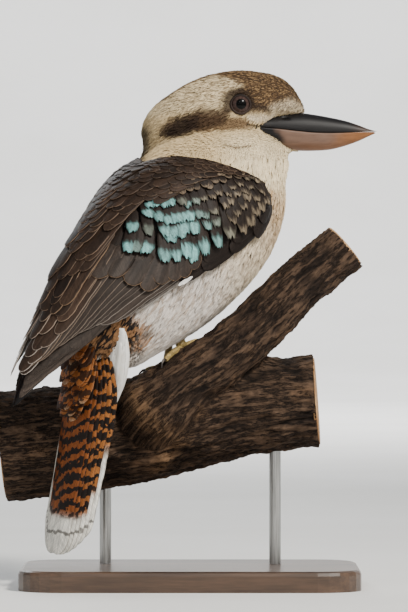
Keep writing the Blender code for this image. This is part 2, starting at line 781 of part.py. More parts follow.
def build_tail():
    down, right, face = tail_axes()
    core_rings = []
    for along, width, thick in TAIL_CORE:
        centre = on_body(*TAIL_ROOT) + down * along - face * TAIL_CORE_DROP
        core_rings.append([centre + right * a + face * v for a, v in oval(14, width, thick, thick)])
    core = loft("tail", core_rings, "rufous")
    pieces = [vane("vane", rectrix_path(side, i), RECTRIX_WIDTH, "rufous")
              for side in (-1, 1) for i in range(RECTRICES)]
    return combined(core, pieces, "UNION", "MANIFOLD")


def build_undertail():
    """The white tuft under the tail's root: tapered locks that hang from the vent."""
    down, right, face = tail_axes()
    along, aside, out = TUFT_PLACE
    root = on_body(*TAIL_ROOT) + down * along + right * aside + face * out
    core_rings = []
    for run, width, thick in TUFT_CORE:
        centre = root + down * run
        core_rings.append([centre + right * a + face * v for a, v in oval(12, width, thick, thick)])
    core = loft("undertail", core_rings, "white")
    pieces = []
    for i in range(LOCKS):
        share = i / (LOCKS - 1) * 2 - 1
        length = LOCK_LENGTH - 0.016 * abs(share) + 0.004 * ((i * 7) % 3 - 1)

        def path(t, share=share, length=length):
            across = LOCK_SPREAD * share * (1 - 0.45 * t)
            centre = (root + down * (0.004 + length * t) + right * across
                      + face * (-0.0035 * abs(share) - 0.001 * share + 0.008 * t * t))
            return centre, right, face, 0.12

        pieces.append(vane("lock", path, LOCK_WIDTH, "white", LOCK_THICKNESS, LOCK_SHAPE))
    return combined(core, pieces, "UNION", "MANIFOLD")


def tube(name, centres, radii, colour, count=20, seed=0, rough=0.0, stretch=1.0):
    """A closed tube along centres, its surface waved by a few slow ripples."""
    waves = np.random.default_rng(seed)
    phases = waves.uniform(0, 2 * math.pi, (4, 2))
    rings = []
    centres = [np.array(c, float) for c in centres]
    side = None
    for i, centre in enumerate(centres):
        ahead = centres[min(i + 1, len(centres) - 1)] - centres[max(i - 1, 0)]
        ahead /= np.linalg.norm(ahead)
        start = np.array((0.0, 1.0, 0.0)) if side is None else side
        side = start - ahead * start.dot(ahead)
        side /= np.linalg.norm(side)
        up = np.cross(ahead, side)
        ring = []
        for j in range(count):
            a = 2 * math.pi * j / count
            ripple = sum(math.sin((k + 2) * a + p + i * 0.55 * (k + 1) / 2 + q) / (k + 2)
                         for k, (p, q) in enumerate(phases))
            radius = radii[i] * (1 + rough * ripple)
            ring.append(centre + side * radius * math.cos(a) * stretch + up * radius * math.sin(a))
        rings.append(ring)
    return loft(name, rings, colour)


def through_rows(rows, count):
    """Centres and radii at even steps along rows of (x, y, z, radius)."""
    table = [(i, *row) for i, row in enumerate(rows)]
    picked = [smooth(table, (len(rows) - 1) * i / (count - 1)) for i in range(count)]
    return [p[:3] for p in picked], [float(p[3]) for p in picked]


def build_perch():
    centres, radii = through_rows(LIMB, 14)
    limb = tube("perch", centres, radii, "bark", 20, 3, PERCH_ROUGHNESS)
    centres, radii = through_rows(FORK, 11)
    fork = tube("fork", centres, radii, "bark", 16, 8, PERCH_ROUGHNESS)
    return combined(limb, [fork], "UNION", "MANIFOLD")


def fork_at(x):
    """The fork's centre and radius where it passes x."""
    table = [(row[0], *row[1:]) for row in FORK]
    across, up, radius = smooth(table, x)
    return np.array((x, across, up)), float(radius)


def fork_axis(x):
    ahead = fork_at(x + 0.004)[0] - fork_at(x - 0.004)[0]
    return ahead / np.linalg.norm(ahead)


def over_fork(x, around, lift):
    """A point over the fork's surface at x, turned away from its top line towards +Y."""
    centre, radius = fork_at(x)
    axis = fork_axis(x)
    top = np.array((0.0, 0.0, 1.0)) - axis * axis[2]
    top /= np.linalg.norm(top)
    back = np.cross(axis, top)
    if back[1] < 0:
        back = -back
    return centre + (top * math.cos(around) + back * math.sin(around)) * (radius + lift)


def toe_points(x, around, step_x, step_around, count=6, lift=0.0016):
    return [over_fork(x + step_x * i / (count - 1), around + step_around * i / (count - 1), lift)
            for i in range(count)]


def build_leg(name, x, around, hip, torso):
    """The bare shank and its four toes, with a claw on each as a node of its own."""
    hip = on_body(*hip)
    ankle = over_fork(x, around, 0.0035)
    steps = [hip + (ankle - hip) * t for t in (0, 0.25, 0.5, 0.75, 0.94, 1.0)]
    shank = tube(name, steps, [TARSUS_RADIUS * s for s in (1.1, 1.0, 0.92, 1.0, 1.25, 1.15)], "leg", 8)
    pieces = [ellipsoid("joint", ankle, (0.0042, 0.0042, 0.0030), "leg", 10, 6)]
    claws = []
    for toe, step_x, step_around in TOES:
        points = toe_points(x, around, step_x, step_around)
        sizes = [TOE_RADIUS * s for s in (1.05, 1.0, 1.1, 0.95, 1.0, 0.80)]
        pieces.append(tube("toe", points, sizes, "leg", 6))
        claws.append(build_claw(name.replace("leg", "claw") + "_" + toe, points, x + step_x,
                                around + step_around, math.copysign(1, step_around)))
    combined(shank, pieces, "UNION", "MANIFOLD")
    for claw in claws:
        cut_clear(claw, shank)
    cut_clear(shank, torso)
    return shank, claws


def build_claw(name, points, x, around, way):
    """A tapered hook that carries on from a toe's end, over the bark."""
    ahead = points[-1] - points[-2]
    ahead /= np.linalg.norm(ahead)
    centre, _ = fork_at(x)
    out = points[-1] - centre
    out -= fork_axis(x) * out.dot(fork_axis(x))
    out /= np.linalg.norm(out)
    steps, radii, count = [], [], 4
    for i in range(count):
        t = i / (count - 1)
        rise = 0.0013 * math.sin(math.pi * min(1.0, t * 1.1)) - 0.0016 * t * t
        steps.append(points[-1] + ahead * CLAW_LENGTH * (t - 0.12) + out * rise)
        radii.append(CLAW_RADIUS * (1 - 0.82 * t))
    return tube(name, steps, radii, "claw", 6)


def build_stand(perch):
    width, depth, height = BASE_SIZE
    bm = bmesh.new()
    bmesh.ops.create_cube(bm, size=1)
    bmesh.ops.transform(bm, matrix=Matrix.Translation((0, 0, height / 2))
                        @ Matrix.Diagonal((width, depth, height, 1)), verts=bm.verts)
    uprights = [e for e in bm.edges if abs(e.verts[0].co.z - e.verts[1].co.z) > height / 2]
    bmesh.ops.bevel(bm, geom=uprights, offset=BASE_CORNER, segments=6, affect="EDGES", profile=0.5)
    rim = [e for e in bm.edges if min(v.co.z for v in e.verts) > height - 1e-6]
    bmesh.ops.bevel(bm, geom=rim, offset=BASE_BEVEL, segments=2, affect="EDGES", profile=0.5)
    mesh = bpy.data.meshes.new("stand_base")
    bm.to_mesh(mesh)
    bm.free()
    base = bpy.data.objects.new("stand_base", mesh)
    bpy.context.scene.collection.objects.link(base)
    mesh.materials.append(material("stand"))
    rods = []
    table = [(row[0], *row[1:]) for row in LIMB]
    for name, x in zip(("stand_rod_left", "stand_rod_right"), ROD_PLACES):
        across, up, _ = smooth(table, x)
        ends = [(x, across, height + GAP), (x, across, up - ROD_INTO_PERCH)]
        rod = tube(name, ends, [ROD_RADIUS] * 2, "steel", 16)
        cut_clear(rod, perch)
        rods.append(rod)
    return base, rods


def finish(obj, colour):
    obj.data.materials.clear()
    obj.data.materials.append(material(colour))
    obj.data.shade_smooth()
    obj.data.set_sharp_from_angle(angle=math.radians(50))


def main():
    clear_scene()
    torso, neck, head = build_body()
    eyes = build_eyes(head)
    upper, lower = build_bill(head)
    wings = [build_wing("wing_right", 1), build_wing("wing_left", -1)]
    tail = build_tail()
    undertail = build_undertail()
    for wing in wings:
        cut_clear(wing, torso, neck)
    cut_clear(tail, torso, *wings)
    cut_clear(undertail, torso, tail, *wings)
    perch = build_perch()
    legs, claws = [], []
    for name, x, around, hip in LEGS:
        leg, its_claws = build_leg(name, x, around, hip, torso)
        legs.append(leg)
        claws += its_claws
    cut_clear(perch, *legs, *claws)
    base, rods = build_stand(perch)
    colours = {"cream": [torso, neck, head], "dark_bill": [upper], "pale_bill": [lower], "eye": eyes,
               "brown": wings, "rufous": [tail], "white": [undertail], "leg": legs, "claw": claws,
               "bark": [perch], "stand": [base], "steel": rods}
    for colour, group in colours.items():
        for obj in group:
            finish(obj, colour)


main()
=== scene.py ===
"""The looks of a life-size laughing kookaburra on a cut fork of a branch, held up by a plain stand.

Metres, +Z up. The camera looks along +Y. The bird's back is to the left, its body heads to the right and
away, and its head is in right profile, facing +X.
"""
import math

import bpy
import numpy as np
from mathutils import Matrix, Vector, noise
from mathutils.bvhtree import BVHTree


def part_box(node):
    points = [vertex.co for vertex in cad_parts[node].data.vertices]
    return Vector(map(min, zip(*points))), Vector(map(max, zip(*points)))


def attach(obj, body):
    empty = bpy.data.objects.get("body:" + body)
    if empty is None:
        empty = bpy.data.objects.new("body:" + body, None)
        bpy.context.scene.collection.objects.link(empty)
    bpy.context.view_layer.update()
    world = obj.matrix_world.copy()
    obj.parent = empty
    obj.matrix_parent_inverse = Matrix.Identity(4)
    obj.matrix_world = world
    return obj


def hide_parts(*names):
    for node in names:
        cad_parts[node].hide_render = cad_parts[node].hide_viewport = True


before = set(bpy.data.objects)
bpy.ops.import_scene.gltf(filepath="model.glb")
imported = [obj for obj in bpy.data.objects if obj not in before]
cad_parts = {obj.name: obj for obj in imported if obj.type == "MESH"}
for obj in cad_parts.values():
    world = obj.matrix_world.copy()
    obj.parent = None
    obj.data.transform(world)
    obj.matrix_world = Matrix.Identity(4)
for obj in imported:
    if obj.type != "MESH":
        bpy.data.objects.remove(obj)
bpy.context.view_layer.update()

# The body: where its middle is, the way it heads and how far it leans back
BODY_MIDDLE = np.array((-0.0166, 0.0, 0.2278))
BODY_HEADING = math.radians(40)
BODY_PITCH = math.radians(42)

# Torso sections along the body: place, back's height, belly's depth, half width
TORSO = (
    (-0.102, 0.012, 0.008, 0.010),
    (-0.096, 0.024, 0.018, 0.020),
    (-0.0815, 0.038, 0.0345, 0.0300),
    (-0.059, 0.050, 0.0430, 0.0375),
    (-0.035, 0.0570, 0.0510, 0.0420),
    (-0.010, 0.0570, 0.0575, 0.0440),
    (0.017, 0.0570, 0.0610, 0.0450),
    (0.043, 0.0560, 0.0615, 0.0445),
    (0.065, 0.0480, 0.0570, 0.0425),
    (0.085, 0.0350, 0.0460, 0.0380),
    (0.102, 0.0230, 0.0280, 0.0270),
    (0.112, 0.0090, 0.0120, 0.0130),
)

# The neck: level sections, as height, middle forward and across, half length and half width
NECK = (
    (0.252, 0.012, 0.028, 0.030, 0.028),
    (0.262, 0.0130, 0.030, 0.046, 0.038),
    (0.279, 0.0145, 0.033, 0.0520, 0.0385),
    (0.293, 0.0165, 0.035, 0.0515, 0.0360),
    (0.303, 0.0170, 0.036, 0.0480, 0.0320),
    (0.316, 0.0160, 0.037, 0.0300, 0.0200),
)

# The head: its own middle is between the eyes, and it faces along +X
HEAD_MIDDLE = np.array((0.0308, 0.0370, 0.3283))
SKULL = (  # forward, top, bottom, half width
    (-0.0650, -0.014, -0.022, 0.004),
    (-0.0620, -0.0075, -0.0300, 0.0130),
    (-0.0565, 0.0000, -0.0360, 0.0210),
    (-0.0478, 0.0068, -0.0390, 0.0270),
    (-0.0342, 0.0155, -0.0390, 0.0305),
    (-0.0206, 0.0213, -0.0390, 0.0315),
    (-0.0070, 0.0243, -0.0370, 0.0305),
    (0.0066, 0.0248, -0.0300, 0.0275),
    (0.0168, 0.0235, -0.0200, 0.0240),
    (0.0270, 0.0215, -0.0105, 0.0195),
    (0.0352, 0.0174, -0.0085, 0.0160),
    (0.0412, 0.0115, -0.0071, 0.0125),
    (0.0465, 0.0026, -0.0062, 0.0080),
    (0.0488, -0.0028, -0.0062, 0.0040),
)
SKULL_HALF_WIDTH = max(row[3] for row in SKULL)
CHIN = (
    (-0.0200, -0.0200, -0.0360, 0.020),
    (-0.0170, -0.0200, -0.0390, 0.0260),
    (0.0000, -0.0220, -0.0370, 0.0240),
    (0.0148, -0.0240, -0.0345, 0.0190),
    (0.0270, -0.0260, -0.0328, 0.0140),
    (0.0372, -0.0282, -0.0318, 0.0095),
    (0.0440, -0.0300, -0.0312, 0.0040),
)

# The bill: forward, culmen, mouth line, gonys, half width
BILL = (
    (0.0040, -0.0090, -0.0135, -0.0190, 0.0120),
    (0.0148, -0.0078, -0.0150, -0.0245, 0.0142),
    (0.0270, -0.0060, -0.0160, -0.0285, 0.0134),
    (0.0372, -0.0051, -0.0172, -0.0306, 0.0123),
    (0.0453, -0.0051, -0.0180, -0.0311, 0.0112),
    (0.0550, -0.0063, -0.0188, -0.0311, 0.0098),
    (0.0661, -0.0083, -0.0190, -0.0302, 0.0081),
    (0.0772, -0.0108, -0.0187, -0.0273, 0.0062),
    (0.0861, -0.0138, -0.0182, -0.0240, 0.0044),
    (0.0920, -0.0161, -0.0180, -0.0212, 0.0028),
    (0.0957, -0.0172, -0.0180, -0.0195, 0.0015),
)
BILL_TIP_FORWARD = 0.0981
NOSTRIL = (0.0345, -0.0088)

# The eyes: forward and up of their middles on the head
EYE_PLACE = (0.0037, -0.0003)
EYEBALL_RADIUS = 0.0084
EYE_OPENING_RADIUS = 0.0064

# The folded wing lies on this arch over the back: place, middle height, height, half width
ARCH = (
    (0.0850, 0.0000, 0.0420, 0.0430),
    (0.0500, 0.0000, 0.0585, 0.0500),
    (0.0200, 0.0000, 0.0615, 0.0515),
    (-0.0360, 0.0000, 0.0602, 0.0490),
    (-0.0730, 0.0020, 0.0515, 0.0412),
    (-0.1040, 0.0040, 0.0380, 0.0315),
    (-0.1320, 0.0060, 0.0280, 0.0215),
    (-0.1500, 0.0080, 0.0200, 0.0140),
    (-0.1680, 0.0080, 0.0100, 0.0080),
)
LEFT_TUCK = 0.90  # the left wing lies closer to the body at the rear than the right one
TUCK_REACH = 0.060

# The tail: its root on the body, its slope below level and its feathers
TAIL_ROOT = (-0.091, 0.001, 0.0)
TAIL_PITCH = math.radians(86)
TAIL_SWAY = math.radians(6)
TAIL_LENGTH = 0.1450
TAIL_BEND = 0.007
TAIL_ARCH = 0.14
TAIL_CAMBER = 0.10
TAIL_BAR_STEP = 0.0094
RECTRICES = 6  # on each side
RECTRIX_WIDTH = 0.0170
TAIL_STEP = 0.0034  # how much shorter the outer feathers are, by the square of their number
TAIL_WIDEST = 0.35  # the share of the length where the tail is widest
TAIL_LAYER = 0.0008  # the level between one feather and the next

# The white tuft under the tail: its root down the tail, right and away from the tail's face
TUFT_PLACE = (-0.004, 0.0098, -0.0195)
TUFT_LENGTH = 0.064
TUFT_RISE = 0.0075  # how far its top reaches over the root
TUFT_FLATNESS = 0.55

# The perch: a main limb and a rising fork, as forward, across, up and radius
LIMB = (
    (-0.1285, 0.0250, 0.0940, 0.0375),
    (-0.0918, 0.0245, 0.0974, 0.0365),
    (-0.0442, 0.0210, 0.1036, 0.0350),
    (0.0034, 0.0175, 0.1140, 0.0345),
    (0.0442, 0.0140, 0.1223, 0.0325),
    (0.0864, 0.0120, 0.1255, 0.0310),
)
FORK = (
    (-0.0290, 0.0090, 0.1110, 0.0270),
    (-0.0220, -0.0020, 0.1205, 0.0265),
    (-0.0034, -0.0075, 0.1375, 0.0215),
    (0.0238, -0.0060, 0.1566, 0.0196),
    (0.0480, -0.0030, 0.1790, 0.0183),
    (0.0714, 0.0000, 0.2018, 0.0178),
    (0.1054, 0.0040, 0.2310, 0.0172),
)
LIMB_STEPS = 60  # rings along the limb, and along the fork
COLLAR_STEPS = (6, 24)  # the rings of the fork between which the swollen collar's line runs

# The height on the neck where the head's coat gives way to the body's, with a little overlap
HEAD_COAT_LEVEL = 0.292
BODY_COAT_LEVEL = 0.2925
FACE_COAT_START = -12  # millimetres forward on the head
BREAST_START = 0.02  # along the body

# The wing's lower edge, as turn for each along
WING_LOWER_EDGE = (
    (-0.17, 0.70), (-0.137, 0.77), (-0.105, 0.84), (-0.087, 0.865), (-0.070, 0.875), (-0.052, 0.915),
    (-0.028, 0.98), (-0.007, 1.05), (0.013, 1.14), (0.031, 1.22), (0.049, 1.26), (0.064, 1.20), (0.078, 1.08),
)
# Where the dark mantle ends and the pale neck begins, as along for each turn
MANTLE_EDGE = ((0.0, 0.024), (0.22, 0.033), (0.455, 0.044), (0.70, 0.056), (0.925, 0.067), (1.15, 0.078))

# The picture: the camera's distance from the bird, and how wide the picture is there
CAMERA_DISTANCE = 3.0
PICTURE_WIDTH = 0.41616
PICTURE_MIDDLE = (0.00952, 0.1904)
SENSOR_WIDTH = 36

# The lamps: name, place, what it faces, size, power and colour
BIRD = (0.0, 0.0, 0.22)
LAMPS = (
    ("key", (1.3, -1.5, 1.9), BIRD, 0.6, 100, (1.0, 0.96, 0.89)),
    ("fill", (-1.8, -1.5, 0.9), BIRD, 1.6, 6, (0.94, 0.97, 1.0)),
    ("back", (-0.8, 1.9, 1.6), BIRD, 1.2, 24, (0.95, 0.98, 1.0)),
    ("glint", (0.06, -2.2, 1.22), BIRD, 0.12, 3.4, (1.0, 0.98, 0.95)),
    ("wall", (0.0, 3.6, 3.4), (0.0, 8.2, 0.6), 3.0, 420, (1.0, 1.0, 1.0)),
)
# The floor's round profile: distance from the middle, and height
FLOOR_PROFILE = (
    (0.01, 0.0), (1.0, 0.0), (3.5, 0.0), (6.0, 0.0), (6.8, 0.06), (7.5, 0.26), (8.1, 0.65), (8.5, 1.2),
    (8.8, 2.0), (8.9, 3.0),
)

# Colours as they look on a screen, red, green and blue up to 255
PAINT = {
    "cream": (194, 171, 131),
    "throat": (220, 203, 168),
    "mask": (36, 25, 18),
    "strip": (92, 68, 46),
    "crown": (92, 71, 49),
    "crown_dark": (48, 36, 27),
    "crown_fringe": (142, 115, 80),
    "lore": (206, 190, 162),
    "brow": (202, 183, 147),
    "speck": (104, 82, 58),
    "breast": (210, 194, 168),
    "breast_buff": (170, 140, 102),
    # Greyer and darker than the breast: partly the belly's own colour, partly painted shade
    "belly": (194, 186, 178),
    "belly_bar": (140, 120, 100),
    "flank": (124, 90, 60),
    "flank_bar": (66, 50, 38),
    "back": (28, 20, 15),
    "back_light": (54, 40, 31),
    "back_fringe": (122, 100, 82),
    "wing": (32, 25, 21),
    "wing_grey": (66, 57, 51),
    # Near black: partly the wing's own colour, partly painted shade
    "wing_black_and_shade": (9, 7, 7),
    "wrist": (28, 22, 19),
    "white": (236, 234, 230),
    "buff_edge": (140, 112, 86),
    "blue": (112, 164, 162),
    "grey_tip": (132, 118, 98),
    "rufous": (118, 62, 26),
    "rufous_pale": (150, 94, 46),
    "tail_bar": (25, 18, 15),
    "tail_white": (226, 222, 212),
    "bill_black": (18, 16, 17),
    "bill_horn": (108, 85, 72),
    "bill_orange": (128, 84, 50),
    "pupil": (2, 2, 2),
    "iris": (50, 38, 35),
    "iris_fibre": (80, 62, 56),
    "iris_rim": (44, 33, 30),
    "eye_rim": (18, 13, 12),
    "lid": (16, 11, 9),
    "lid_light": (66, 50, 42),
    "leg": (150, 128, 76),
    "leg_light": (182, 156, 96),
    "claw": (38, 33, 30),
    "claw_light": (74, 64, 56),
    "bark": (60, 46, 36),
    "bark_light": (84, 66, 52),
    "bark_patch": (120, 92, 68),
    "bark_collar": (118, 90, 64),
    "bark_hollow": (30, 23, 19),
    "bark_crack": (26, 20, 17),
    "sawn": (186, 148, 104),
    "sawn_ring": (138, 98, 62),
    "sawn_pore": (110, 80, 54),
    "stand_wood": (58, 44, 35),
    "stand_wood_light": (92, 70, 54),
    "steel": (158, 158, 156),
    "steel_light": (196, 196, 194),
    "floor": (238, 237, 234),
    "floor_light": (243, 242, 240),
}


def linear(name):
    """A paint as the light it stands for."""
    share = np.asarray(PAINT[name], float) / 255
    return np.where(share <= 0.04045, share / 12.92, ((share + 0.055) / 1.055) ** 2.4)


def unit(vectors):
    """Vectors made one long."""
    return vectors / np.maximum(np.linalg.norm(vectors, axis=-1, keepdims=True), 1e-12)


def ramp(value, low, high):
    """0 at low and 1 at high, with a smooth rise between."""
    t = np.clip((np.asarray(value, float) - low) / (high - low), 0, 1)
    return t * t * (3 - 2 * t)


def dot(a, b):
    """The products of vectors, with their last axis kept."""
    return np.sum(a * b, axis=-1, keepdims=True)


def mixed(first, second, share):
    """The first carried over to the second by a share."""
    share = np.asarray(share)[..., None]
    return first * (1 - share) + second * share


def over(colour, paint, share):
    """A colour with some of a paint over it."""
    return mixed(colour, linear(paint), share)


def smooth(stations, at):
    """The values of a smooth curve through rows of (place, values), at an array of places."""
    rows = np.array(sorted(stations), float)
    places, values = rows[:, 0], rows[:, 1:]
    slopes = np.gradient(values, places, axis=0)
    at = np.clip(at, places[0], places[-1])
    i = np.clip(np.searchsorted(places, at, side="right") - 1, 0, len(places) - 2)
    step = (places[i + 1] - places[i])[..., None]
    t = (at - places[i])[..., None] / step
    near = (1 + 2 * t) * (1 - t) ** 2 * values[i] + t * (1 - t) ** 2 * step * slopes[i]
    far = t * t * (3 - 2 * t) * values[i + 1] + t * t * (t - 1) * step * slopes[i + 1]
    return near + far


def curve(stations, at):
    """The one value of a smooth curve through rows of (place, value)."""
    return smooth(stations, at)[..., 0]


def circle(count):
    """Even steps round a circle."""
    return np.linspace(0, 2 * math.pi, count, endpoint=False)


def ripples(points, size, seed=0, octaves=3):
    """Smooth noise from about -1 to 1, whose largest lumps are size across."""
    shift = Vector((seed * 17.3, seed * 5.1, seed * 9.7))
    flat = np.asarray(points, float).reshape(-1, 3) / size
    made = [noise.fractal(Vector(p) + shift, 1.0, 2.1, octaves) for p in flat]
    return np.array(made).reshape(np.asarray(points).shape[:-1])


def axes_of(heading, pitch):
    """The ways forward, up and right of something that heads and leans so."""
    forward = np.array((math.cos(heading) * math.cos(pitch),
                        math.sin(heading) * math.cos(pitch), math.sin(pitch)))
    right = np.array((math.sin(heading), -math.cos(heading), 0.0))
    return forward, np.cross(right, forward), right


BODY_FORWARD, BODY_UP, BODY_RIGHT = axes_of(BODY_HEADING, BODY_PITCH)


def on_body(along, up, right):
    """Points from their places on the body."""
    along, up, right = (np.asarray(v, float)[..., None] for v in (along, up, right))
    return BODY_MIDDLE + along * BODY_FORWARD + up * BODY_UP + right * BODY_RIGHT


def in_body(points):
    """Along, up and right of points on the body."""
    away = points - BODY_MIDDLE
    return away @ BODY_FORWARD, away @ BODY_UP, away @ BODY_RIGHT


def in_head(points):
    """Forward, across and up of points on the head, in millimetres."""
    away = (points - HEAD_MIDDLE) * 1000
    return away[..., 0], away[..., 1], away[..., 2]


def arch_point(along, turn, side):
    """Points of the arch that the wing lies on. turn is 0 at the back's middle line, 1 at the side."""
    section = smooth(ARCH, along)
    a = turn * math.pi / 2
    tuck = 1.0
    if side < 0:
        tuck = 1 - (1 - LEFT_TUCK) * np.clip(-along / TUCK_REACH, 0, 1) * ramp(turn, 0.0, 0.3)
    up = section[..., 0] + tuck * section[..., 1] * np.cos(a)
    return on_body(along, up, side * tuck * section[..., 2] * np.sin(a))


def arch_frame(along, turn, side):
    """Steps along and round the arch, and its outward normals."""
    step = 0.001
    ahead = (arch_point(along + step, turn, side) - arch_point(along - step, turn, side)) / (2 * step)
    spin = (arch_point(along, turn + step, side) - arch_point(along, turn - step, side)) / (2 * step)
    return ahead, spin, unit(np.cross(spin, ahead) * side)


def turn_of(points):
    """Along and turn of body points, as seen from the arch's middle line."""
    along, up, right = in_body(points)
    section = smooth(ARCH, along)
    turn = np.arctan2(np.abs(right) / section[..., 2], (up - section[..., 0]) / section[..., 1])
    return along, turn / (math.pi / 2)


def past_mantle(along, turn):
    """How far a place on the arch lies in front of the mantle's edge."""
    return along - curve(MANTLE_EDGE, np.abs(turn))


# Materials

def new_look(name, roughness=0.6, specular=0.5, coat=0.0, coat_roughness=0.03, sheen=0.0, metallic=0.0):
    """A material with its even qualities set on the shader's own sockets."""
    made = bpy.data.materials.new(name)
    made.use_nodes = True
    shader = made.node_tree.nodes["Principled BSDF"]
    shader.inputs["Roughness"].default_value = roughness
    shader.inputs["Specular IOR Level"].default_value = specular
    shader.inputs["Coat Weight"].default_value = coat
    shader.inputs["Coat Roughness"].default_value = coat_roughness
    shader.inputs["Sheen Weight"].default_value = sheen
    shader.inputs["Metallic"].default_value = metallic
    return made, made.node_tree, shader


def add(tree, kind, *sockets, **settings):
    """A node with its settings, and with values or links put into its input sockets in order."""
    node = tree.nodes.new("ShaderNode" + kind)
    for key, value in settings.items():
        setattr(node, key, value)
    for i, value in enumerate(sockets):
        if value is None:
            continue
        if isinstance(value, bpy.types.NodeSocket):
            tree.links.new(value, node.inputs[i])
        else:
            node.inputs[i].default_value = value
    return node


def math_of(tree, operation, *values):
    """What a math node gives for values or links."""
    return add(tree, "Math", *values, operation=operation).outputs[0]


def spread(tree, value, low, high, start=0.0, end=1.0):
    """A value's stretch from low to high carried smoothly over to start to end."""
    node = add(tree, "MapRange", value, low, high, start, end, interpolation_type="SMOOTHSTEP")
    return node.outputs[0]


def mix_of(tree, share, first, second):
    """Two paints or links mixed by a share."""
    node = tree.nodes.new("ShaderNodeMix")
    node.data_type = "RGBA"
    for index, value in ((0, share), (6, first), (7, second)):
        if isinstance(value, bpy.types.NodeSocket):
            tree.links.new(value, node.inputs[index])
        elif index == 0:
            node.inputs[0].default_value = value
        else:
            node.inputs[index].default_value = (*linear(value), 1)
    return node.outputs[2]


def layer(tree, name, output="Color"):
    """One of the piece's own layers."""
    return add(tree, "Attribute", attribute_name=name).outputs[output]


def noise_of(tree, scale, detail=3.0, roughness=0.55, at=None, stretch=None):
    """Noise over the object's own shape, with scale in lumps per metre."""
    if at is None:
        at = add(tree, "TexCoord").outputs["Object"]
    if stretch:
        at = add(tree, "Mapping", at, None, None, stretch).outputs[0]
    node = add(tree, "TexNoise", at)
    node.inputs["Scale"].default_value = scale
    node.inputs["Detail"].default_value = detail
    node.inputs["Roughness"].default_value = roughness
    return node.outputs["Fac"]


def bumped(tree, shader, height, strength, distance):
    """Relief from a height, with the distance in metres."""
    bump = add(tree, "Bump")
    bump.inputs["Strength"].default_value = strength
    bump.inputs["Distance"].default_value = distance
    tree.links.new(height, bump.inputs["Height"])
    tree.links.new(bump.outputs[0], shader.inputs["Normal"])


def painted(tree, shader, colour):
    """Links the surface's colour."""
    tree.links.new(colour, shader.inputs["Base Color"])


def brightness(tree, colour, value, low, high):
    """A colour made darker and lighter as a noise value goes from about 0.3 to 0.7."""
    gain = spread(tree, value, 0.3, 0.7, low, high)
    return add(tree, "VectorMath", colour, None, None, gain, operation="SCALE").outputs[0]


def coat_look(name):
    """The small feathers and the skin under them, in the piece's own colours."""
    made, tree, shader = new_look(name, 0.78, 0.15, sheen=0.05)
    tint = brightness(tree, layer(tree, "tint"), noise_of(tree, 900, 2), 0.90, 1.10)
    painted(tree, shader, brightness(tree, tint, noise_of(tree, 60, 2), 0.94, 1.05))
    bumped(tree, shader, noise_of(tree, 2600, 2), 0.2, 0.0002)
    return made


def vane_place(tree):
    """Across, along and number of a place on a vane, and the three as one."""
    across, along = add(tree, "SeparateXYZ", add(tree, "UVMap", uv_map="vane").outputs[0]).outputs[:2]
    number = layer(tree, "number", "Fac")
    return across, along, number, add(tree, "CombineXYZ", across, along, number).outputs[0]


def vane_look(name, roughness=0.56):
    """Barbs slant away from the shaft, and the rim has its own colour."""
    made, tree, shader = new_look(name, roughness, 0.16)
    across, along, number, place = vane_place(tree)
    aside = math_of(tree, "MULTIPLY", math_of(tree, "ABSOLUTE", across), 0.9)
    lines = add(tree, "CombineXYZ", across, math_of(tree, "SUBTRACT", along, aside), number)
    barbs = noise_of(tree, 1300, 2, 0.5, lines.outputs[0], (0.16, 1.0, 1.0))
    streaks = noise_of(tree, 620, 3, 0.6, place, (1.0, 0.14, 1.0))
    ragged = math_of(tree, "MULTIPLY_ADD", streaks, 0.0008, layer(tree, "rim", "Fac"))
    inside = spread(tree, ragged, 0.0004, 0.0011)
    colour = mix_of(tree, inside, layer(tree, "edge"), layer(tree, "tint"))
    colour = brightness(tree, colour, barbs, 0.80, 1.18)
    colour = brightness(tree, colour, streaks, 0.74, 1.24)
    painted(tree, shader, colour)
    bumped(tree, shader, barbs, 0.45, 0.0003)
    return made, tree, shader, colour


def tail_look(name):
    """A vane with broken dark bars, which is pale at the tip behind one thin bar."""
    made, tree, shader, colour = vane_look(name, 0.58)
    across, along, number, place = vane_place(tree)
    warp = noise_of(tree, 120, 3, 0.6, place)
    phase = math_of(tree, "MULTIPLY_ADD", along, 1 / TAIL_BAR_STEP, math_of(tree, "MULTIPLY", warp, 1.9))
    phase = math_of(tree, "MULTIPLY_ADD", number, 0.7, phase)
    phase = math_of(tree, "MULTIPLY_ADD", across, 46.0, phase)
    wave = math_of(tree, "SINE", math_of(tree, "MULTIPLY", phase, 2 * math.pi))
    patches = noise_of(tree, 230, 3, 0.6, place)
    patchy = math_of(tree, "MULTIPLY_ADD", patches, 2.6, math_of(tree, "SUBTRACT", wave, 1.5))
    bars = math_of(tree, "MULTIPLY", spread(tree, patchy, -0.50, -0.10), layer(tree, "bars", "Fac"))
    line = math_of(tree, "MULTIPLY_ADD", warp, 0.06, layer(tree, "share", "Fac"))
    line = math_of(tree, "ABSOLUTE", math_of(tree, "SUBTRACT", line, 0.925))
    thin = math_of(tree, "SUBTRACT", 1.0, spread(tree, line, 0.005, 0.012))
    dark = math_of(tree, "MAXIMUM", bars, math_of(tree, "MULTIPLY", thin, 0.75))
    painted(tree, shader, mix_of(tree, dark, colour, "tail_bar"))
    return made


def plain_look(name, colours, scale, roughness, bump, stretch=None):
    """A surface of two colours mixed by noise, for small hard or bare parts."""
    made, tree, shader = new_look(name, roughness)
    value = noise_of(tree, scale, 4, 0.6, None, stretch)
    painted(tree, shader, mix_of(tree, spread(tree, value, 0.35, 0.65), *colours))
    bumped(tree, shader, noise_of(tree, scale * 3, 3, 0.6, None, stretch), bump, 0.0003)
    return made


def tinted_look(name, roughness, bump, scale, stretch=None, **even):
    """The piece's own colours, with fine lines."""
    made, tree, shader = new_look(name, roughness, **even)
    value = noise_of(tree, scale, 3, 0.6, None, stretch)
    painted(tree, shader, brightness(tree, layer(tree, "tint"), value, 0.86, 1.12))
    bumped(tree, shader, value, bump, 0.0002)
    return made


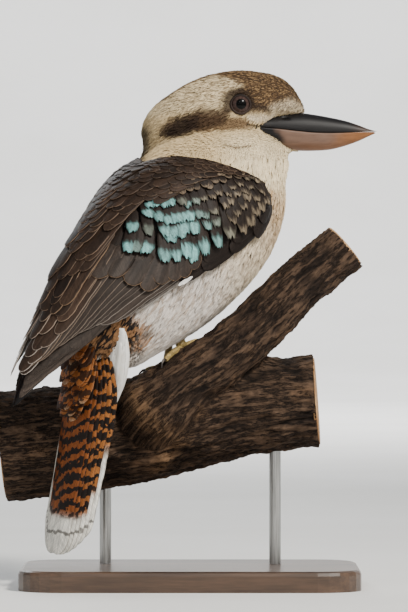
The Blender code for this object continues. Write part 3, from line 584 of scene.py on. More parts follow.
def scaly_look(name, colours, scale):
    """Small scales with dark seams between them."""
    made, tree, shader = new_look(name, 0.5, 0.4)
    at = add(tree, "TexCoord").outputs["Object"]
    cells = add(tree, "TexVoronoi", at, feature="DISTANCE_TO_EDGE")
    cells.inputs["Scale"].default_value = scale
    edge = spread(tree, cells.outputs["Distance"], 0.0, 0.12)
    colour = mix_of(tree, spread(tree, noise_of(tree, 300), 0.35, 0.65), *colours)
    painted(tree, shader, brightness(tree, colour, edge, 0.55, 1.05))
    bumped(tree, shader, edge, 0.7, 0.0003)
    return made


def bark_look(name):
    """Bark whose furrows follow each limb, which the piece's grain layer holds straightened."""
    made, tree, shader = new_look(name, 0.9, 0.2)
    hollow = layer(tree, "hollow", "Fac")
    at = layer(tree, "grain", "Vector")
    coarse = noise_of(tree, 270, 5, 0.75, at, (0.17, 1.0, 1.0))
    fine = noise_of(tree, 620, 4, 0.7, at, (0.35, 1.0, 1.0))
    broad = noise_of(tree, 42, 3, 0.6)
    colour = mix_of(tree, spread(tree, coarse, 0.36, 0.62), "bark", "bark_light")
    colour = mix_of(tree, spread(tree, broad, 0.54, 0.74, 0.0, 0.6), colour, "bark_patch")
    colour = mix_of(tree, layer(tree, "collar", "Fac"), colour, "bark_collar")
    # Darker in the low places of the bark: partly its own colour there, partly painted shade.
    colour = mix_of(tree, spread(tree, hollow, 0.35, 1.0, 0.0, 0.8), colour, "bark_hollow")
    cracks = math_of(tree, "ABSOLUTE", math_of(tree, "SUBTRACT", coarse, 0.47))
    colour = mix_of(tree, spread(tree, cracks, 0.0, 0.035, 1.0, 0.0), colour, "bark_crack")
    painted(tree, shader, brightness(tree, colour, fine, 0.60, 1.28))
    height = math_of(tree, "MULTIPLY_ADD", spread(tree, cracks, 0.0, 0.05), 0.8, fine)
    bumped(tree, shader, height, 1.0, 0.0014)
    return made


def sawn_look(name):
    """Growth rings round the cut's own middle, which the piece's rings layer holds."""
    made, tree, shader = new_look(name, 0.75, 0.3)
    radius = layer(tree, "rings", "Fac")
    warped = math_of(tree, "MULTIPLY_ADD", noise_of(tree, 45, 3), 0.0030, radius)
    rings = math_of(tree, "SINE", math_of(tree, "MULTIPLY", warped, 2 * math.pi / 0.0023))
    colour = mix_of(tree, spread(tree, rings, -0.4, 0.9), "sawn", "sawn_ring")
    colour = mix_of(tree, spread(tree, noise_of(tree, 900, 3), 0.55, 0.75), colour, "sawn_pore")
    painted(tree, shader, colour)
    bumped(tree, shader, noise_of(tree, 1400, 3), 0.4, 0.0003)
    return made


def wood_look(name):
    """Planed dark wood under a thin varnish."""
    made, tree, shader = new_look(name, 0.42, 0.45, coat=0.25, coat_roughness=0.2)
    grain = noise_of(tree, 60, 5, 0.65, None, (0.12, 1.0, 1.0))
    pores = noise_of(tree, 700, 3, 0.6, None, (0.05, 1.0, 1.0))
    colour = mix_of(tree, spread(tree, grain, 0.32, 0.68), "stand_wood", "stand_wood_light")
    painted(tree, shader, brightness(tree, colour, pores, 0.8, 1.08))
    bumped(tree, shader, pores, 0.25, 0.0002)
    return made


def steel_look(name):
    """Steel brushed round its length."""
    made, tree, shader = new_look(name, 0.34, metallic=1.0)
    brushed = noise_of(tree, 900, 3, 0.6, None, (1.0, 1.0, 0.04))
    painted(tree, shader, mix_of(tree, spread(tree, brushed, 0.3, 0.7), "steel", "steel_light"))
    bumped(tree, shader, brushed, 0.12, 0.0001)
    return made


def floor_look(name):
    """Pale, even and dull."""
    made, tree, shader = new_look(name, 0.85, 0.2)
    patches = spread(tree, noise_of(tree, 3, 3), 0.3, 0.7)
    painted(tree, shader, mix_of(tree, patches, "floor", "floor_light"))
    bumped(tree, shader, noise_of(tree, 220, 3), 0.05, 0.001)
    return made


# Meshes from arrays

def mesh_of(name, points, corners, sizes, flat):
    """A mesh from its points, the corners of all its polygons in a row and their counts."""
    mesh = bpy.data.meshes.new(name)
    mesh.vertices.add(len(points))
    mesh.vertices.foreach_set("co", points.reshape(-1))
    mesh.loops.add(len(corners))
    mesh.loops.foreach_set("vertex_index", corners)
    mesh.polygons.add(len(sizes))
    starts = np.concatenate([[0], np.cumsum(sizes)[:-1]]).astype(np.int32)
    mesh.polygons.foreach_set("loop_start", starts)
    mesh.polygons.foreach_set("use_smooth", np.full(len(sizes), not flat))
    mesh.update(calc_edges=True)
    return mesh


def add_layer(mesh, name, values):
    """A number, or a row of three, on each point of a mesh."""
    values = np.asarray(values, np.float32)
    if values.ndim == 2:
        made = mesh.attributes.new(name, "FLOAT_COLOR", "POINT")
        full = np.ones((len(values), 4), np.float32)
        full[:, :3] = values
        made.data.foreach_set("color", full.reshape(-1))
    else:
        made = mesh.attributes.new(name, "FLOAT", "POINT")
        made.data.foreach_set("value", values.reshape(-1))


def add_piece(name, points, faces, look, layers=(), maps=(), flat=False):
    """An object from arrays: faces is a list of index arrays, each of one kind of polygon."""
    points = np.asarray(points, np.float32).reshape(-1, 3)
    corners = np.concatenate([f.reshape(-1) for f in faces]).astype(np.int32)
    sizes = np.concatenate([np.full(len(f), f.shape[1]) for f in faces]).astype(np.int32)
    mesh = mesh_of(name, points, corners, sizes, flat)
    for key, values in dict(layers).items():
        add_layer(mesh, key, values)
    for key, values in dict(maps).items():
        made = mesh.uv_layers.new(name=key)
        made.data.foreach_set("uv", np.asarray(values, np.float32)[corners].reshape(-1))
    mesh.materials.append(look)
    obj = bpy.data.objects.new(name, mesh)
    bpy.context.scene.collection.objects.link(obj)
    return obj


def ring_quads(rings, count, closed=False):
    """Quads between rings of equal count, and also from the last to the first where they are closed."""
    i, j = np.meshgrid(np.arange(rings if closed else rings - 1), np.arange(count), indexing="ij")
    k = (j + 1) % count
    low, high = i * count, (i + 1) % rings * count
    return np.stack([low + j, low + k, high + k, high + j], -1).reshape(-1, 4)


def ring_caps(rings, count):
    """A fan to a middle point over each end of rings of equal count."""
    a = np.arange(count)
    b = (a + 1) % count
    last = (rings - 1) * count
    middle = rings * count
    return np.concatenate([np.stack([np.full(count, middle), b, a], -1),
                           np.stack([np.full(count, middle + 1), last + a, last + b], -1)])


def lofted(rings):
    """Points and faces of a closed skin over an array of rings."""
    rings = np.asarray(rings, float)
    ends = np.stack([rings[0].mean(axis=0), rings[-1].mean(axis=0)])
    size = rings.shape[:2]
    return np.concatenate([rings.reshape(-1, 3), ends]), [ring_quads(*size), ring_caps(*size)]


def oval(count, half_width, up, down, squareness=2.0):
    """Across and up of the points of an oval whose upper and lower halves differ."""
    a = circle(count)
    s, c = np.sin(a), np.cos(a)
    power = 2 / squareness
    across = half_width * np.sign(s) * np.abs(s) ** power
    return across, np.where(c > 0, up, down) * np.sign(c) * np.abs(c) ** power


def sheet_faces(rows, columns):
    """The faces of one closed thin sheet, whose upper points come before its lower ones."""
    top = np.arange(rows * columns).reshape(rows, columns)
    low = top + rows * columns
    faces = [np.stack([top[:-1, :-1], top[:-1, 1:], top[1:, 1:], top[1:, :-1]], -1).reshape(-1, 4),
             np.stack([low[:-1, :-1], low[1:, :-1], low[1:, 1:], low[:-1, 1:]], -1).reshape(-1, 4)]
    around = np.concatenate([top[0, :], top[1:, -1], top[-1, -2::-1], top[-2:0:-1, 0]])
    after = np.roll(around, -1)
    under = rows * columns
    faces.append(np.stack([around, around + under, after + under, after], -1))
    return np.concatenate(faces)


def sheets(grid, normals, thickness):
    """Points and faces of many closed sheets from a grid of count x rows x columns points."""
    count, rows, columns, _ = grid.shape
    half = normals * (thickness / 2)[..., None]
    points = np.stack([grid + half, grid - half], axis=1).reshape(-1, 3)
    template = sheet_faces(rows, columns)
    shift = np.arange(count)[:, None, None] * (2 * rows * columns)
    return points, (template[None] + shift).reshape(-1, 4)


def both_faces(values):
    """Values of a grid's points repeated for a sheet's upper and lower points."""
    doubled = np.stack([values, values], axis=1)
    return doubled.reshape(-1, values.shape[-1]) if values.ndim == 4 else doubled.reshape(-1)


def joined(parts):
    """Points and faces of several pieces as one."""
    points, faces, start = [], {}, 0
    for some, groups in parts:
        for group in groups:
            faces.setdefault(group.shape[1], []).append(group + start)
        points.append(some)
        start += len(some)
    return np.concatenate(points), [np.concatenate(groups) for groups in faces.values()]


# The skin

def skin_forms():
    """The closed forms that the skin goes over: torso, neck, skull and chin."""
    torso = []
    for along in np.linspace(TORSO[0][0], TORSO[-1][0], 40):
        up, down, width = smooth(TORSO, along)
        across, height = oval(48, width, up, down)
        torso.append(on_body(along, height, across))
    neck = []
    for level in np.linspace(NECK[0][0], NECK[-1][0], 20):
        forward, middle, length, width = smooth(NECK, level)
        across, ahead = oval(48, width, length, length)
        neck.append(np.stack([forward + ahead, middle + across, np.full(48, level)], -1))
    forms = [torso, neck]
    for rows in (SKULL, CHIN):
        rings = []
        for forward in np.linspace(rows[0][0], rows[-1][0], 30):
            top, bottom, width = smooth(rows, forward)
            across, height = oval(40, width, (top - bottom) / 2, (top - bottom) / 2, 2.15)
            height = height + (top + bottom) / 2
            rings.append(HEAD_MIDDLE + np.stack([np.full(40, forward), across, height], -1))
        forms.append(rings)
    return [lofted(rings) for rings in forms]


def applied(obj):
    """Makes what an object's modifiers give its own mesh."""
    bpy.context.view_layer.update()
    graph = bpy.context.evaluated_depsgraph_get()
    mesh = bpy.data.meshes.new_from_object(obj.evaluated_get(graph))
    obj.modifiers.clear()
    obj.data = mesh


def read(items, key, each, kind):
    """One value of all of a mesh's items, in a row."""
    found = np.zeros(len(items) * each, kind)
    items.foreach_get(key, found)
    return found


def remeshed(points, faces, voxel, rounds):
    """The points, normals and quads of one even skin over closed forms that overlap."""
    obj = add_piece("form", points, faces, bpy.data.materials.new("spare"))
    change = obj.modifiers.new("even", "REMESH")
    change.mode = "VOXEL"
    change.voxel_size = voxel
    calm = obj.modifiers.new("calm", "SMOOTH")
    calm.factor = 0.5
    calm.iterations = rounds
    applied(obj)
    mesh = obj.data
    points = read(mesh.vertices, "co", 3, np.float32).reshape(-1, 3).astype(float)
    normals = read(mesh.vertices, "normal", 3, np.float32).reshape(-1, 3).astype(float)
    quads = read(mesh.loops, "vertex_index", 1, np.int32).reshape(-1, 4)
    bpy.data.objects.remove(obj)
    return points, normals, quads


def tree_of(points, quads):
    """A search tree over a mesh."""
    return BVHTree.FromPolygons([tuple(p) for p in points], [tuple(q) for q in quads.tolist()])


def coat_depth(points):
    """How far the skin lies under the tips of the coat."""
    forward, _, _ = in_head(points)
    face = ramp(forward, -25, 20) * ramp(points[..., 2], 0.285, 0.297)
    return 0.0021 - 0.0011 * face


def near_eye(points):
    """Distance from the nearer eye's middle."""
    return np.minimum(*(np.linalg.norm(points - EYES[side], axis=-1) for side in ("right", "left")))


def eye_middles():
    """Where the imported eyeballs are."""
    return {side: np.array(sum(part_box("eye_" + side), Vector()) / 2) for side in ("right", "left")}


EYES = eye_middles()


def head_blend(points):
    """1 on the head and 0 on the body, with the neck between."""
    return ramp(points[..., 2], 0.276, 0.298)


# Markings, which the skin and its coat share

def stroke(forward, up, route, soft):
    """How much of a painted stroke, along rows of forward, up and half width, is on each point."""
    most = np.zeros(np.shape(forward))
    for (f1, u1, r1), (f2, u2, r2) in zip(route, route[1:]):
        run = np.array((f2 - f1, u2 - u1))
        t = np.clip(((forward - f1) * run[0] + (up - u1) * run[1]) / (run @ run), 0, 1)
        away = np.hypot(forward - f1 - t * run[0], up - u1 - t * run[1])
        most = np.maximum(most, 1 - ramp(away - (r1 + (r2 - r1) * t), -soft, soft))
    return most


# Strokes on the head's side, as rows of forward, up and half width in millimetres
EAR_PATCH = ((-42.0, -16.4, 5.6), (-34.0, -13.2, 7.6), (-21.0, -9.0, 6.8), (-8.0, -7.2, 5.4))
EAR_CORE = ((-41.0, -17.6, 4.4), (-33.0, -14.6, 5.8), (-24.0, -10.8, 3.4))
UNDER_EYE = ((-24.0, -11.6, 5.2), (-10.0, -11.6, 5.0), (2.0, -12.0, 4.2), (13.4, -13.8, 1.8))
BEFORE_EYE = ((9.5, -0.6, 2.6), (17.0, -1.2, 2.2), (25.0, -3.4, 1.4))
LORE = ((11.5, -8.6, 2.0), (19.0, -8.4, 2.6), (28.0, -8.0, 2.4))
OVER_BILL = ((28.0, -2.0, 3.6), (38.0, -0.5, 4.6), (45.0, -3.0, 4.0))
GAPE = ((9.5, -13.2, 0.7), (18.0, -14.3, 1.8), (27.0, -15.2, 3.0))
# Painted shade: a thin dark line in the fold of skin under the gape, below the cheek's bulge.
GAPE_FOLD_SHADE = ((-6.0, -28.2, 0.3), (3.0, -29.2, 0.7), (14.0, -28.2, 0.5))
# The front edge of the crown's colour, as forward for each up
CROWN_EDGE = ((-40.0, -9.0), (-3.0, -2.0), (2.0, 3.5), (7.6, 0.0), (13.7, 7.0), (21.0, -8.0), (30.0, -12.0))


def brow_tint(colour, forward, up, grain):
    """The brow band runs over the eye to the nape, pale with dark specks."""
    brow = ramp(up, -9, 0)
    colour = over(colour, "brow", brow)
    return over(colour, "speck", ramp(grain, 0.62, 0.70) * brow * (0.45 + 0.25 * ramp(forward, -30, 0)))


def crown_tint(colour, forward, across, up, grain):
    """The crown's cap, streaked dark, comes down to the eye at the front."""
    edge = curve(CROWN_EDGE, up)
    front = ramp(forward - edge, -3.5, 3.5) * ramp(up, -7.5, -1.0)
    cap = 1 - ramp(np.abs(across), 8, 13)
    cap = cap * ramp(forward, -56, -40) * ramp(up, 0, 6)
    crown = np.maximum(front, cap * 0.85)
    colour = over(colour, "crown", crown)
    colour = over(colour, "crown_dark", crown * ramp(grain, 0.56, 0.70) * 0.7)
    return over(colour, "crown_fringe", crown * (1 - ramp(grain, 0.20, 0.34)) * 0.7)


def face_tint(colour, from_eye, forward, up, grain):
    """Pale over the bill and between it and the eye, dark round the eye, at the ear and along the gape. Above
    the eye the dark is partly painted shadow of the brow, and the line in the fold under the gape is painted
    shade.
    """
    pale = stroke(forward, up, OVER_BILL, 3.4) * (0.75 - 0.45 * ramp(grain, 0.6, 0.7))
    colour = over(colour, "lore", pale)
    colour = over(colour, "lore", stroke(forward, up, LORE, 1.6))
    colour = over(colour, "strip", stroke(forward, up, UNDER_EYE, 1.8) * 0.85)
    colour = over(colour, "crown_dark", stroke(forward, up, BEFORE_EYE, 1.6) * 0.75)
    # Dark round the eye, kept mostly to its upper side: partly its own dark feathers, partly painted shadow
    # of the brow.
    ring = 1 - ramp(from_eye, 10.4, 14.0)
    colour = over(colour, "crown_dark", ring * ramp(up - 0.25 * forward, -7.0, -3.0) * 0.9)
    ear = stroke(forward, up, EAR_PATCH, 2.6) * (0.82 + 0.18 * grain)
    colour = mixed(colour, mixed(linear("strip"), linear("mask"), 0.7), ear)
    colour = over(colour, "mask", stroke(forward, up, EAR_CORE, 3.0) * (0.85 + 0.15 * grain))
    # Painted shade in the fold under the gape
    colour = over(colour, "strip", stroke(forward, up, GAPE_FOLD_SHADE, 0.7) * 0.85)
    return over(colour, "bill_black", stroke(forward, up, GAPE, 0.5))


def head_tint(points, grain):
    """The head's colours. grain is one number from 0 to 1 for each tuft, and speckles the coat."""
    forward, across, up = in_head(points)
    forward = forward + 1.6 * ripples(points, 0.012, 3)
    up = up + 1.2 * ripples(points, 0.009, 5)
    colour = over(linear("cream"), "throat", ramp(-up, 12, 30) * ramp(forward, -20, 10))
    colour = brow_tint(colour, forward, up, grain)
    colour = crown_tint(colour, forward, across, up, grain)
    colour = face_tint(colour, near_eye(points) * 1000, forward, up, grain)
    return over(colour, "mask", ramp(-forward, 52, 60) * ramp(-up, 8, 14) * 0.85)


def body_tint(points, grain):
    """The body's colours: pale below, barred on the flank and the rump, dark over the back."""
    along, up, right = in_body(points)
    _, turn = turn_of(points)
    # The belly's paint is greyer and a little darker than the breast's: partly its own colour, partly painted
    # shade on the body's lower rear.
    breast = over(linear("belly"), "breast", ramp(along, -0.02, 0.05))
    side = ramp(right, 0.004, 0.030) * ramp(along, 0.045, 0.075)
    colour = over(breast, "breast_buff", side * (0.55 + 0.4 * grain))
    wave = along / 0.0062 + 1.3 * ripples(points, 0.020, 7) + 0.8 * ripples(points, 0.007, 8)
    bars = ramp(np.sin(2 * math.pi * wave), 0.20, 0.85) * (0.55 + 0.45 * grain)
    colour = over(colour, "belly_bar", bars * (0.32 + 0.35 * ramp(right, 0.01, 0.03)))
    broad = np.sin(2 * math.pi * wave * 0.7)
    flank = 1 - ramp(np.hypot(along + 0.071, up + 0.010), 0.0115, 0.0155)
    flank = flank * ramp(np.abs(right), 0.010, 0.018)
    rust = over(linear("flank"), "flank_bar", ramp(broad, 0.0, 0.9))
    colour = mixed(colour, rust, flank * (0.70 + 0.25 * grain))
    early = 0.016 * (1 - ramp(turn, 1.10, 1.30))
    rump = ramp(early - along, 0.078, 0.085) * (1 - ramp(turn, 1.40, 1.50))
    colour = mixed(colour, over(linear("flank"), "tail_bar", ramp(broad, -0.2, 0.4)), rump)
    low = curve(WING_LOWER_EDGE, along)
    back = (1 - ramp(turn - low, -0.16, -0.08)) * ramp(-past_mantle(along, turn), -0.002, 0.003)
    return over(colour, "back", back)


def coat_tint(points, grain):
    """The colours of the whole coat, the head's in front of the mantle and the body's behind it."""
    along, turn = turn_of(points)
    neck = ramp(past_mantle(along, turn), 0.0, 0.004) * ramp(points[..., 2], 0.262, 0.285)
    on_head = np.maximum(head_blend(points), neck)
    return mixed(body_tint(points, grain), head_tint(points, grain), on_head)


# Small feathers as tapered blades over the skin

class Skin:
    """The skin's mesh, with what is needed to scatter over it and to lie on it."""

    def __init__(self, points, normals, quads):
        self.points, self.normals = points, normals
        self.triangles = np.concatenate([quads[:, [0, 1, 2]], quads[:, [0, 2, 3]]])
        self.tree = tree_of(points, quads)

    def scattered(self, where, spacing, rng):
        """Places on the part of the skin that where picks, with about one in each cube of spacing."""
        corners = self.points[self.triangles]
        picked = where(corners.mean(axis=1))
        corners, indices = corners[picked], self.triangles[picked]
        crosses = np.cross(corners[:, 1] - corners[:, 0], corners[:, 2] - corners[:, 0])
        areas = np.linalg.norm(crosses, axis=1)
        count = int(areas.sum() / 2 / spacing ** 2 * 3)
        chosen = rng.choice(len(areas), count, p=areas / areas.sum())
        u, v = rng.random(count), rng.random(count)
        outside = u + v > 1
        u[outside], v[outside] = 1 - u[outside], 1 - v[outside]
        weights = np.stack([1 - u - v, u, v], -1)[..., None]
        places = (corners[chosen] * weights).sum(axis=1)
        normals = unit((self.normals[indices[chosen]] * weights).sum(axis=1))
        cells = np.floor(places / spacing).astype(int)
        _, first = np.unique(cells, axis=0, return_index=True)
        first = np.sort(first)
        return places[first], normals[first]

    def nearest(self, places):
        """The nearest points of the skin, with its normals there."""
        flat = places.reshape(-1, 3)
        near, normals = np.empty_like(flat), np.empty_like(flat)
        for i, place in enumerate(flat):
            near[i], normals[i], _, _ = self.tree.find_nearest(Vector(place))
        return near.reshape(places.shape), normals.reshape(places.shape)


def coat_lie(points, normals):
    """The way the feathers point: back over the head, down the neck, then along the body to the tail."""
    head = np.array((-1.0, 0.0, -0.55))
    neck = np.array((-0.45, -0.10, -1.0))
    level = points[..., 2]
    lie = mixed(np.broadcast_to(neck, points.shape), np.broadcast_to(head, points.shape),
                ramp(level, 0.290, 0.312))
    below = -BODY_FORWARD - 0.22 * BODY_UP
    lie = mixed(np.broadcast_to(below, points.shape), lie, ramp(level, 0.262, 0.290))
    return unit(lie - dot(lie, normals) * normals)


def turned(vectors, axes, angles):
    """Vectors turned round axes that are square to them."""
    c, s = np.cos(angles)[..., None], np.sin(angles)[..., None]
    return vectors * c + np.cross(axes, vectors) * s


# A blade's width at steps along it, as shares, and the size of its patch on the flat map
BLADE_SHAPE = ((0.0, 0.55), (0.34, 1.0), (0.70, 0.72))
BAKE_PATCH = 0.003


def blade_faces(rows):
    """The faces of one tapered three-sided blade, whose tip is its last point."""
    tip = 3 * rows
    triangles = [(0, 1, 2)]
    for i in range(rows - 1):
        for j in range(3):
            a, b = 3 * i + j, 3 * i + (j + 1) % 3
            triangles += [(a, a + 3, b + 3), (a, b + 3, b)]
    for j in range(3):
        triangles.append((3 * (rows - 1) + j, tip, 3 * (rows - 1) + (j + 1) % 3))
    return np.array(triangles)


def blade_points(starts, middles, ends, sides, normals, widths):
    """The points of blades that bow from their starts over their middles to their ends."""
    rows = []
    for t, share in BLADE_SHAPE:
        centre = (1 - t) ** 2 * starts + 2 * t * (1 - t) * middles + t * t * ends
        half = (0.5 * widths * share)[:, None]
        rows += [centre - sides * half, centre + sides * half, centre + normals * half * 0.55]
    return np.stack(rows + [ends], axis=1)


def blade_coat(name, skin, look, where, length, unwrap, seed, spacing, width, rise, steepness, yaw):
    """Blades over the part of the skin that where picks, with lengths by place.

    rise is how high the tips stand, and steepness what each length adds to it.
    """
    rng = np.random.default_rng(seed)
    roots, normals = skin.scattered(where, spacing, rng)
    count = len(roots)
    heads = turned(coat_lie(roots, normals), normals, rng.normal(0, yaw, count))
    reach = length(roots)
    lengths = reach * rng.uniform(0.75, 1.2, count)
    widths = width * rng.uniform(0.75, 1.25, count)
    rises = (rise + steepness * reach) * rng.uniform(0.65, 1.3, count)
    grain = rng.random(count)
    tips, tip_normals = skin.nearest(roots + heads * lengths[:, None])
    ends = tips + tip_normals * rises[:, None]
    starts = roots - normals * 0.0005
    middles = roots + heads * (0.5 * lengths)[:, None] + normals * (0.95 * rises)[:, None]
    sides = unit(np.cross(normals + tip_normals, ends - starts))
    points = blade_points(starts, middles, ends, sides, normals, widths)
    shift = np.arange(count)[:, None, None] * points.shape[1]
    faces = (blade_faces(len(BLADE_SHAPE))[None] + shift).reshape(-1, 3)
    tint = coat_tint(roots, grain) * rng.uniform(0.88, 1.10, count)[:, None]
    # Painted shade: each blade is darker at its root, where the coat over it shades it, and lighter towards
    # its tip.
    shade = np.repeat([t for t, _ in BLADE_SHAPE] + [1.0], [3] * len(BLADE_SHAPE) + [1])
    shade = 0.84 + 0.20 * np.minimum(1, shade * 1.5)
    tints = np.clip(tint[:, None] * shade[None, :, None], 0, 1)
    spot = np.array([(x, t) for t, _ in BLADE_SHAPE for x in (-0.5, 0.5, 0.0)] + [(0.0, 1.0)])
    patch = unwrap(roots)[:, None] + spot[None] * BAKE_PATCH
    obj = add_piece(name, points, [faces], look, {"tint": tints.reshape(-1, 3)},
                    {"OFBake": patch.reshape(-1, 2)}, flat=True)
    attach(obj, "root")


def body_unwrap(points):
    """Places on a flat map of the torso and neck: round the body's axis, and along it."""
    along, up, right = in_body(points)
    around = np.arctan2(right, -up) / (2 * math.pi) + 0.5
    return np.stack([0.01 + 0.98 * around, 0.01 + 0.97 * np.clip((along + 0.11) / 0.24, 0, 1)], -1)


def head_unwrap(points):
    """Places on a flat map of the head: round its long axis, and along it."""
    forward, across, up = in_head(points)
    around = np.arctan2(across, up + 12) / (2 * math.pi) + 0.5
    return np.stack([0.01 + 0.98 * around, 0.01 + 0.97 * np.clip((forward + 68) / 120, 0, 1)], -1)


# Vanes: feathers as thin closed sheets

COLUMNS = np.array((-1.0, -0.76, -0.50, -0.24, 0.0, 0.24, 0.50, 0.76, 1.0))


def outline(t, start=0.35, full=0.30, fall=0.58, square=2.2):
    """A feather's half width along it, as a share of the full one, with a rounded tip."""
    rise = start + (1 - start) * np.sin(0.5 * math.pi * np.clip(t / full, 0, 1))
    end = np.clip((t - fall) / (1 - fall), 0, 1)
    return rise * np.maximum(1 - end ** square, 0.0) ** 0.5


def long_outline(t):
    """A feather with nearly even sides."""
    return outline(t, 0.5, 0.2, 0.76, 2.4)


def blunt_outline(t):
    """A feather whose barbs end in a ragged, nearly square edge."""
    return outline(t, 0.4, 0.3, 1.0) * (1 - 0.42 * ramp(t, 0.72, 1.0))


def row_places(rows):
    """Steps along a feather, closer together towards its tip."""
    t = np.linspace(0, 1, rows)
    return 1 - (1 - t) ** 1.5


def half_widths(widths, shares, rng, amount=0.08):
    """Half widths over each vane from its shares, with a few notches where the barbs part."""
    size = (len(widths), len(shares), 2)
    cuts = rng.random(size) < 0.22
    depth = rng.uniform(0.3, 1.0, size) * amount
    half = 0.5 * widths[:, None, None] * (shares[None, :, None] * (1 - cuts * depth))
    return np.where(COLUMNS < 0, half[..., 0:1], half[..., 1:2])


def vane_layers(rng, lengths, halves, t, tints, edges):
    """The colour layers and maps that every vane carries."""
    count = len(lengths)
    across = COLUMNS[None, None, :] * halves
    run = np.broadcast_to((lengths[:, None] * t[None, :])[..., None], across.shape)
    to_side = np.abs(halves) - np.abs(across)
    to_tip = (lengths[:, None] * (1 - t)[None, :])[..., None] * 0.9
    rim = np.minimum(to_side, np.broadcast_to(to_tip, across.shape))
    number = np.broadcast_to(rng.random(count)[:, None, None], across.shape)
    share = np.broadcast_to(t[None, :, None], across.shape)
    layers = {"tint": both_faces(tints), "edge": both_faces(edges), "rim": both_faces(rim),
              "number": both_faces(number), "share": both_faces(share)}
    maps = {"vane": both_faces(np.stack([across, run], -1))}
    cells = math.ceil(math.sqrt(count))
    index = np.arange(count)
    corner = np.stack([index % cells, index // cells], -1)[:, None, None, :]
    spot = np.broadcast_arrays(COLUMNS[None, None, :] * 0.45 + 0.5, (t * 0.9 + 0.05)[None, :, None])
    maps["OFBake"] = both_faces((corner + np.stack(spot, -1)) / cells)
    return layers, maps


def thicknesses(t, widths):
    """Sheet thickness: thin vanes with a shaft along their middle that tapers to the tip."""
    shaft = 0.00040 * (1 - 0.8 * t)[None, :, None] * (np.abs(COLUMNS) < 0.05)
    scale = np.clip(np.asarray(widths) / 0.012, 0.5, 1.3)[:, None, None]
    return (0.00028 + shaft) * scale


def through(rows, count):
    """Evenly stepped values along rows of values."""
    table = [(i, *row) for i, row in enumerate(rows)]
    return smooth(table, np.linspace(0, len(rows) - 1, count))


def varied(colour, count, rng, amount=0.12):
    """A colour for each feather, a little lighter or darker."""
    return linear(colour)[None] * rng.uniform(1 - amount, 1 + amount, count)[:, None]


def many(value, count):
    """One value, or one for each, as an array of count."""
    return np.broadcast_to(np.asarray(value, float), (count,))


def shafts(side, ends, t):
    """Along, turn, the arch's steps there, the heading, the way across and the lengths of feathers."""
    step = ends[:, 2:] - ends[:, :2]
    along = ends[:, 0:1] + step[:, 0:1] * t
    turn = ends[:, 1:2] + step[:, 1:2] * t
    ahead, spin, normal = arch_frame(along, turn, side)
    change = ahead * step[:, None, 0:1] + spin * step[:, None, 1:2]
    heading = unit(change)
    across = np.cross(normal, heading) * side
    return along, turn, ahead, spin, heading, across, np.linalg.norm(change, axis=-1).mean(axis=1)


def vane_colours(rng, t, base, tip, edge, start, soft, dim, rim_from):
    """The colours over each vane and at its rim."""
    count = len(base)
    spot = t[None, :, None] + 0.5 * soft * rng.uniform(-1, 1, (count, 1, len(COLUMNS)))
    start = many(start, count)[:, None, None]
    change = ramp((spot - start) / soft, 0, 1) * (1 - dim * ramp(np.abs(COLUMNS), 0.55, 1.0))
    tints = mixed(np.asarray(base)[:, None, None], np.asarray(tip)[:, None, None], change)
    tints = tints * (1 + 0.14 * rng.uniform(-1, 1, (count, 1, len(COLUMNS), 1)))
    rimmed = ramp(t[None, :, None] + 0 * tints[..., 0], rim_from, rim_from + 0.12)
    return tints, mixed(tints, np.asarray(edge)[:, None, None, :], rimmed)


def feathers(side, rng, ends, widths, lifts, base, tip, edge, start=0.6, soft=0.25, shape=outline,
             slant=0.07, rows=14, ragged=0.0, camber=0.10, rim_from=0.0, dim=0.0):
    """A group of vanes over the wing's arch, as points, faces, layers and maps.

    ends holds along and turn of each root and tip, and lifts the heights of root and tip over the arch.
    The slant lifts the lower edge of each over the next, camber bends its sides down, and ragged draws its
    barbs apart at the tip. The colour goes over to the tip's from start on, over a soft stretch, less at
    the sides by dim. The rim's colour begins at rim_from.
    """
    ends = np.asarray(ends, float)
    count = len(ends)
    widths = many(widths, count)
    t = row_places(rows)
    along, turn, ahead, spin, heading, across, lengths = shafts(side, ends, t)
    halves = half_widths(widths, shape(t), rng)
    aside = COLUMNS * halves
    comb = ragged * rng.uniform(-1, 1, (count, 1, len(COLUMNS))) * ramp(t, 0.6, 1.0)[None, :, None]
    a, u = along[..., None], turn[..., None]
    for way, much in ((across, aside), (heading, comb)):
        a = a + much * (dot(way, ahead) / dot(ahead, ahead))
        u = u + much * (dot(way, spin) / dot(spin, spin))
    # Roots that would pass the mantle's edge are drawn together there
    a = a - 0.9 * np.maximum(past_mantle(a, u) - 0.0015, 0)
    _, _, normals = arch_frame(a, u, side)
    low, high = (many(v, count)[:, None] for v in lifts)
    lift = (low + (high - low) * t)[..., None] + aside * slant - camber * COLUMNS ** 2 * np.abs(halves)
    lift = lift - 0.0050 * ramp(past_mantle(a, u), -0.020, 0.006)
    grid = arch_point(a, u, side) + normals * lift[..., None]
    points, faces = sheets(grid, normals, thicknesses(t, widths))
    tints, edges = vane_colours(rng, t, base, tip, edge, start, soft, dim, rim_from)
    return points, faces, *vane_layers(rng, lengths, halves, t, tints, edges)


def add_vanes(name, parts, look):
    """One piece from several groups of vanes, with its own bake cells for each group."""
    points, faces = joined([(p, [f]) for p, f, _, _ in parts])
    layers = {key: np.concatenate([part[2][key] for part in parts]) for key in parts[0][2]}
    blocks = math.ceil(math.sqrt(len(parts)))
    maps = {"vane": np.concatenate([part[3]["vane"] for part in parts])}
    bake = [(part[3]["OFBake"] + (i % blocks, i // blocks)) / blocks for i, part in enumerate(parts)]
    maps["OFBake"] = np.concatenate(bake)
    obj = add_piece(name, points, faces, look, layers, maps)
    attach(obj, "root")
    return obj


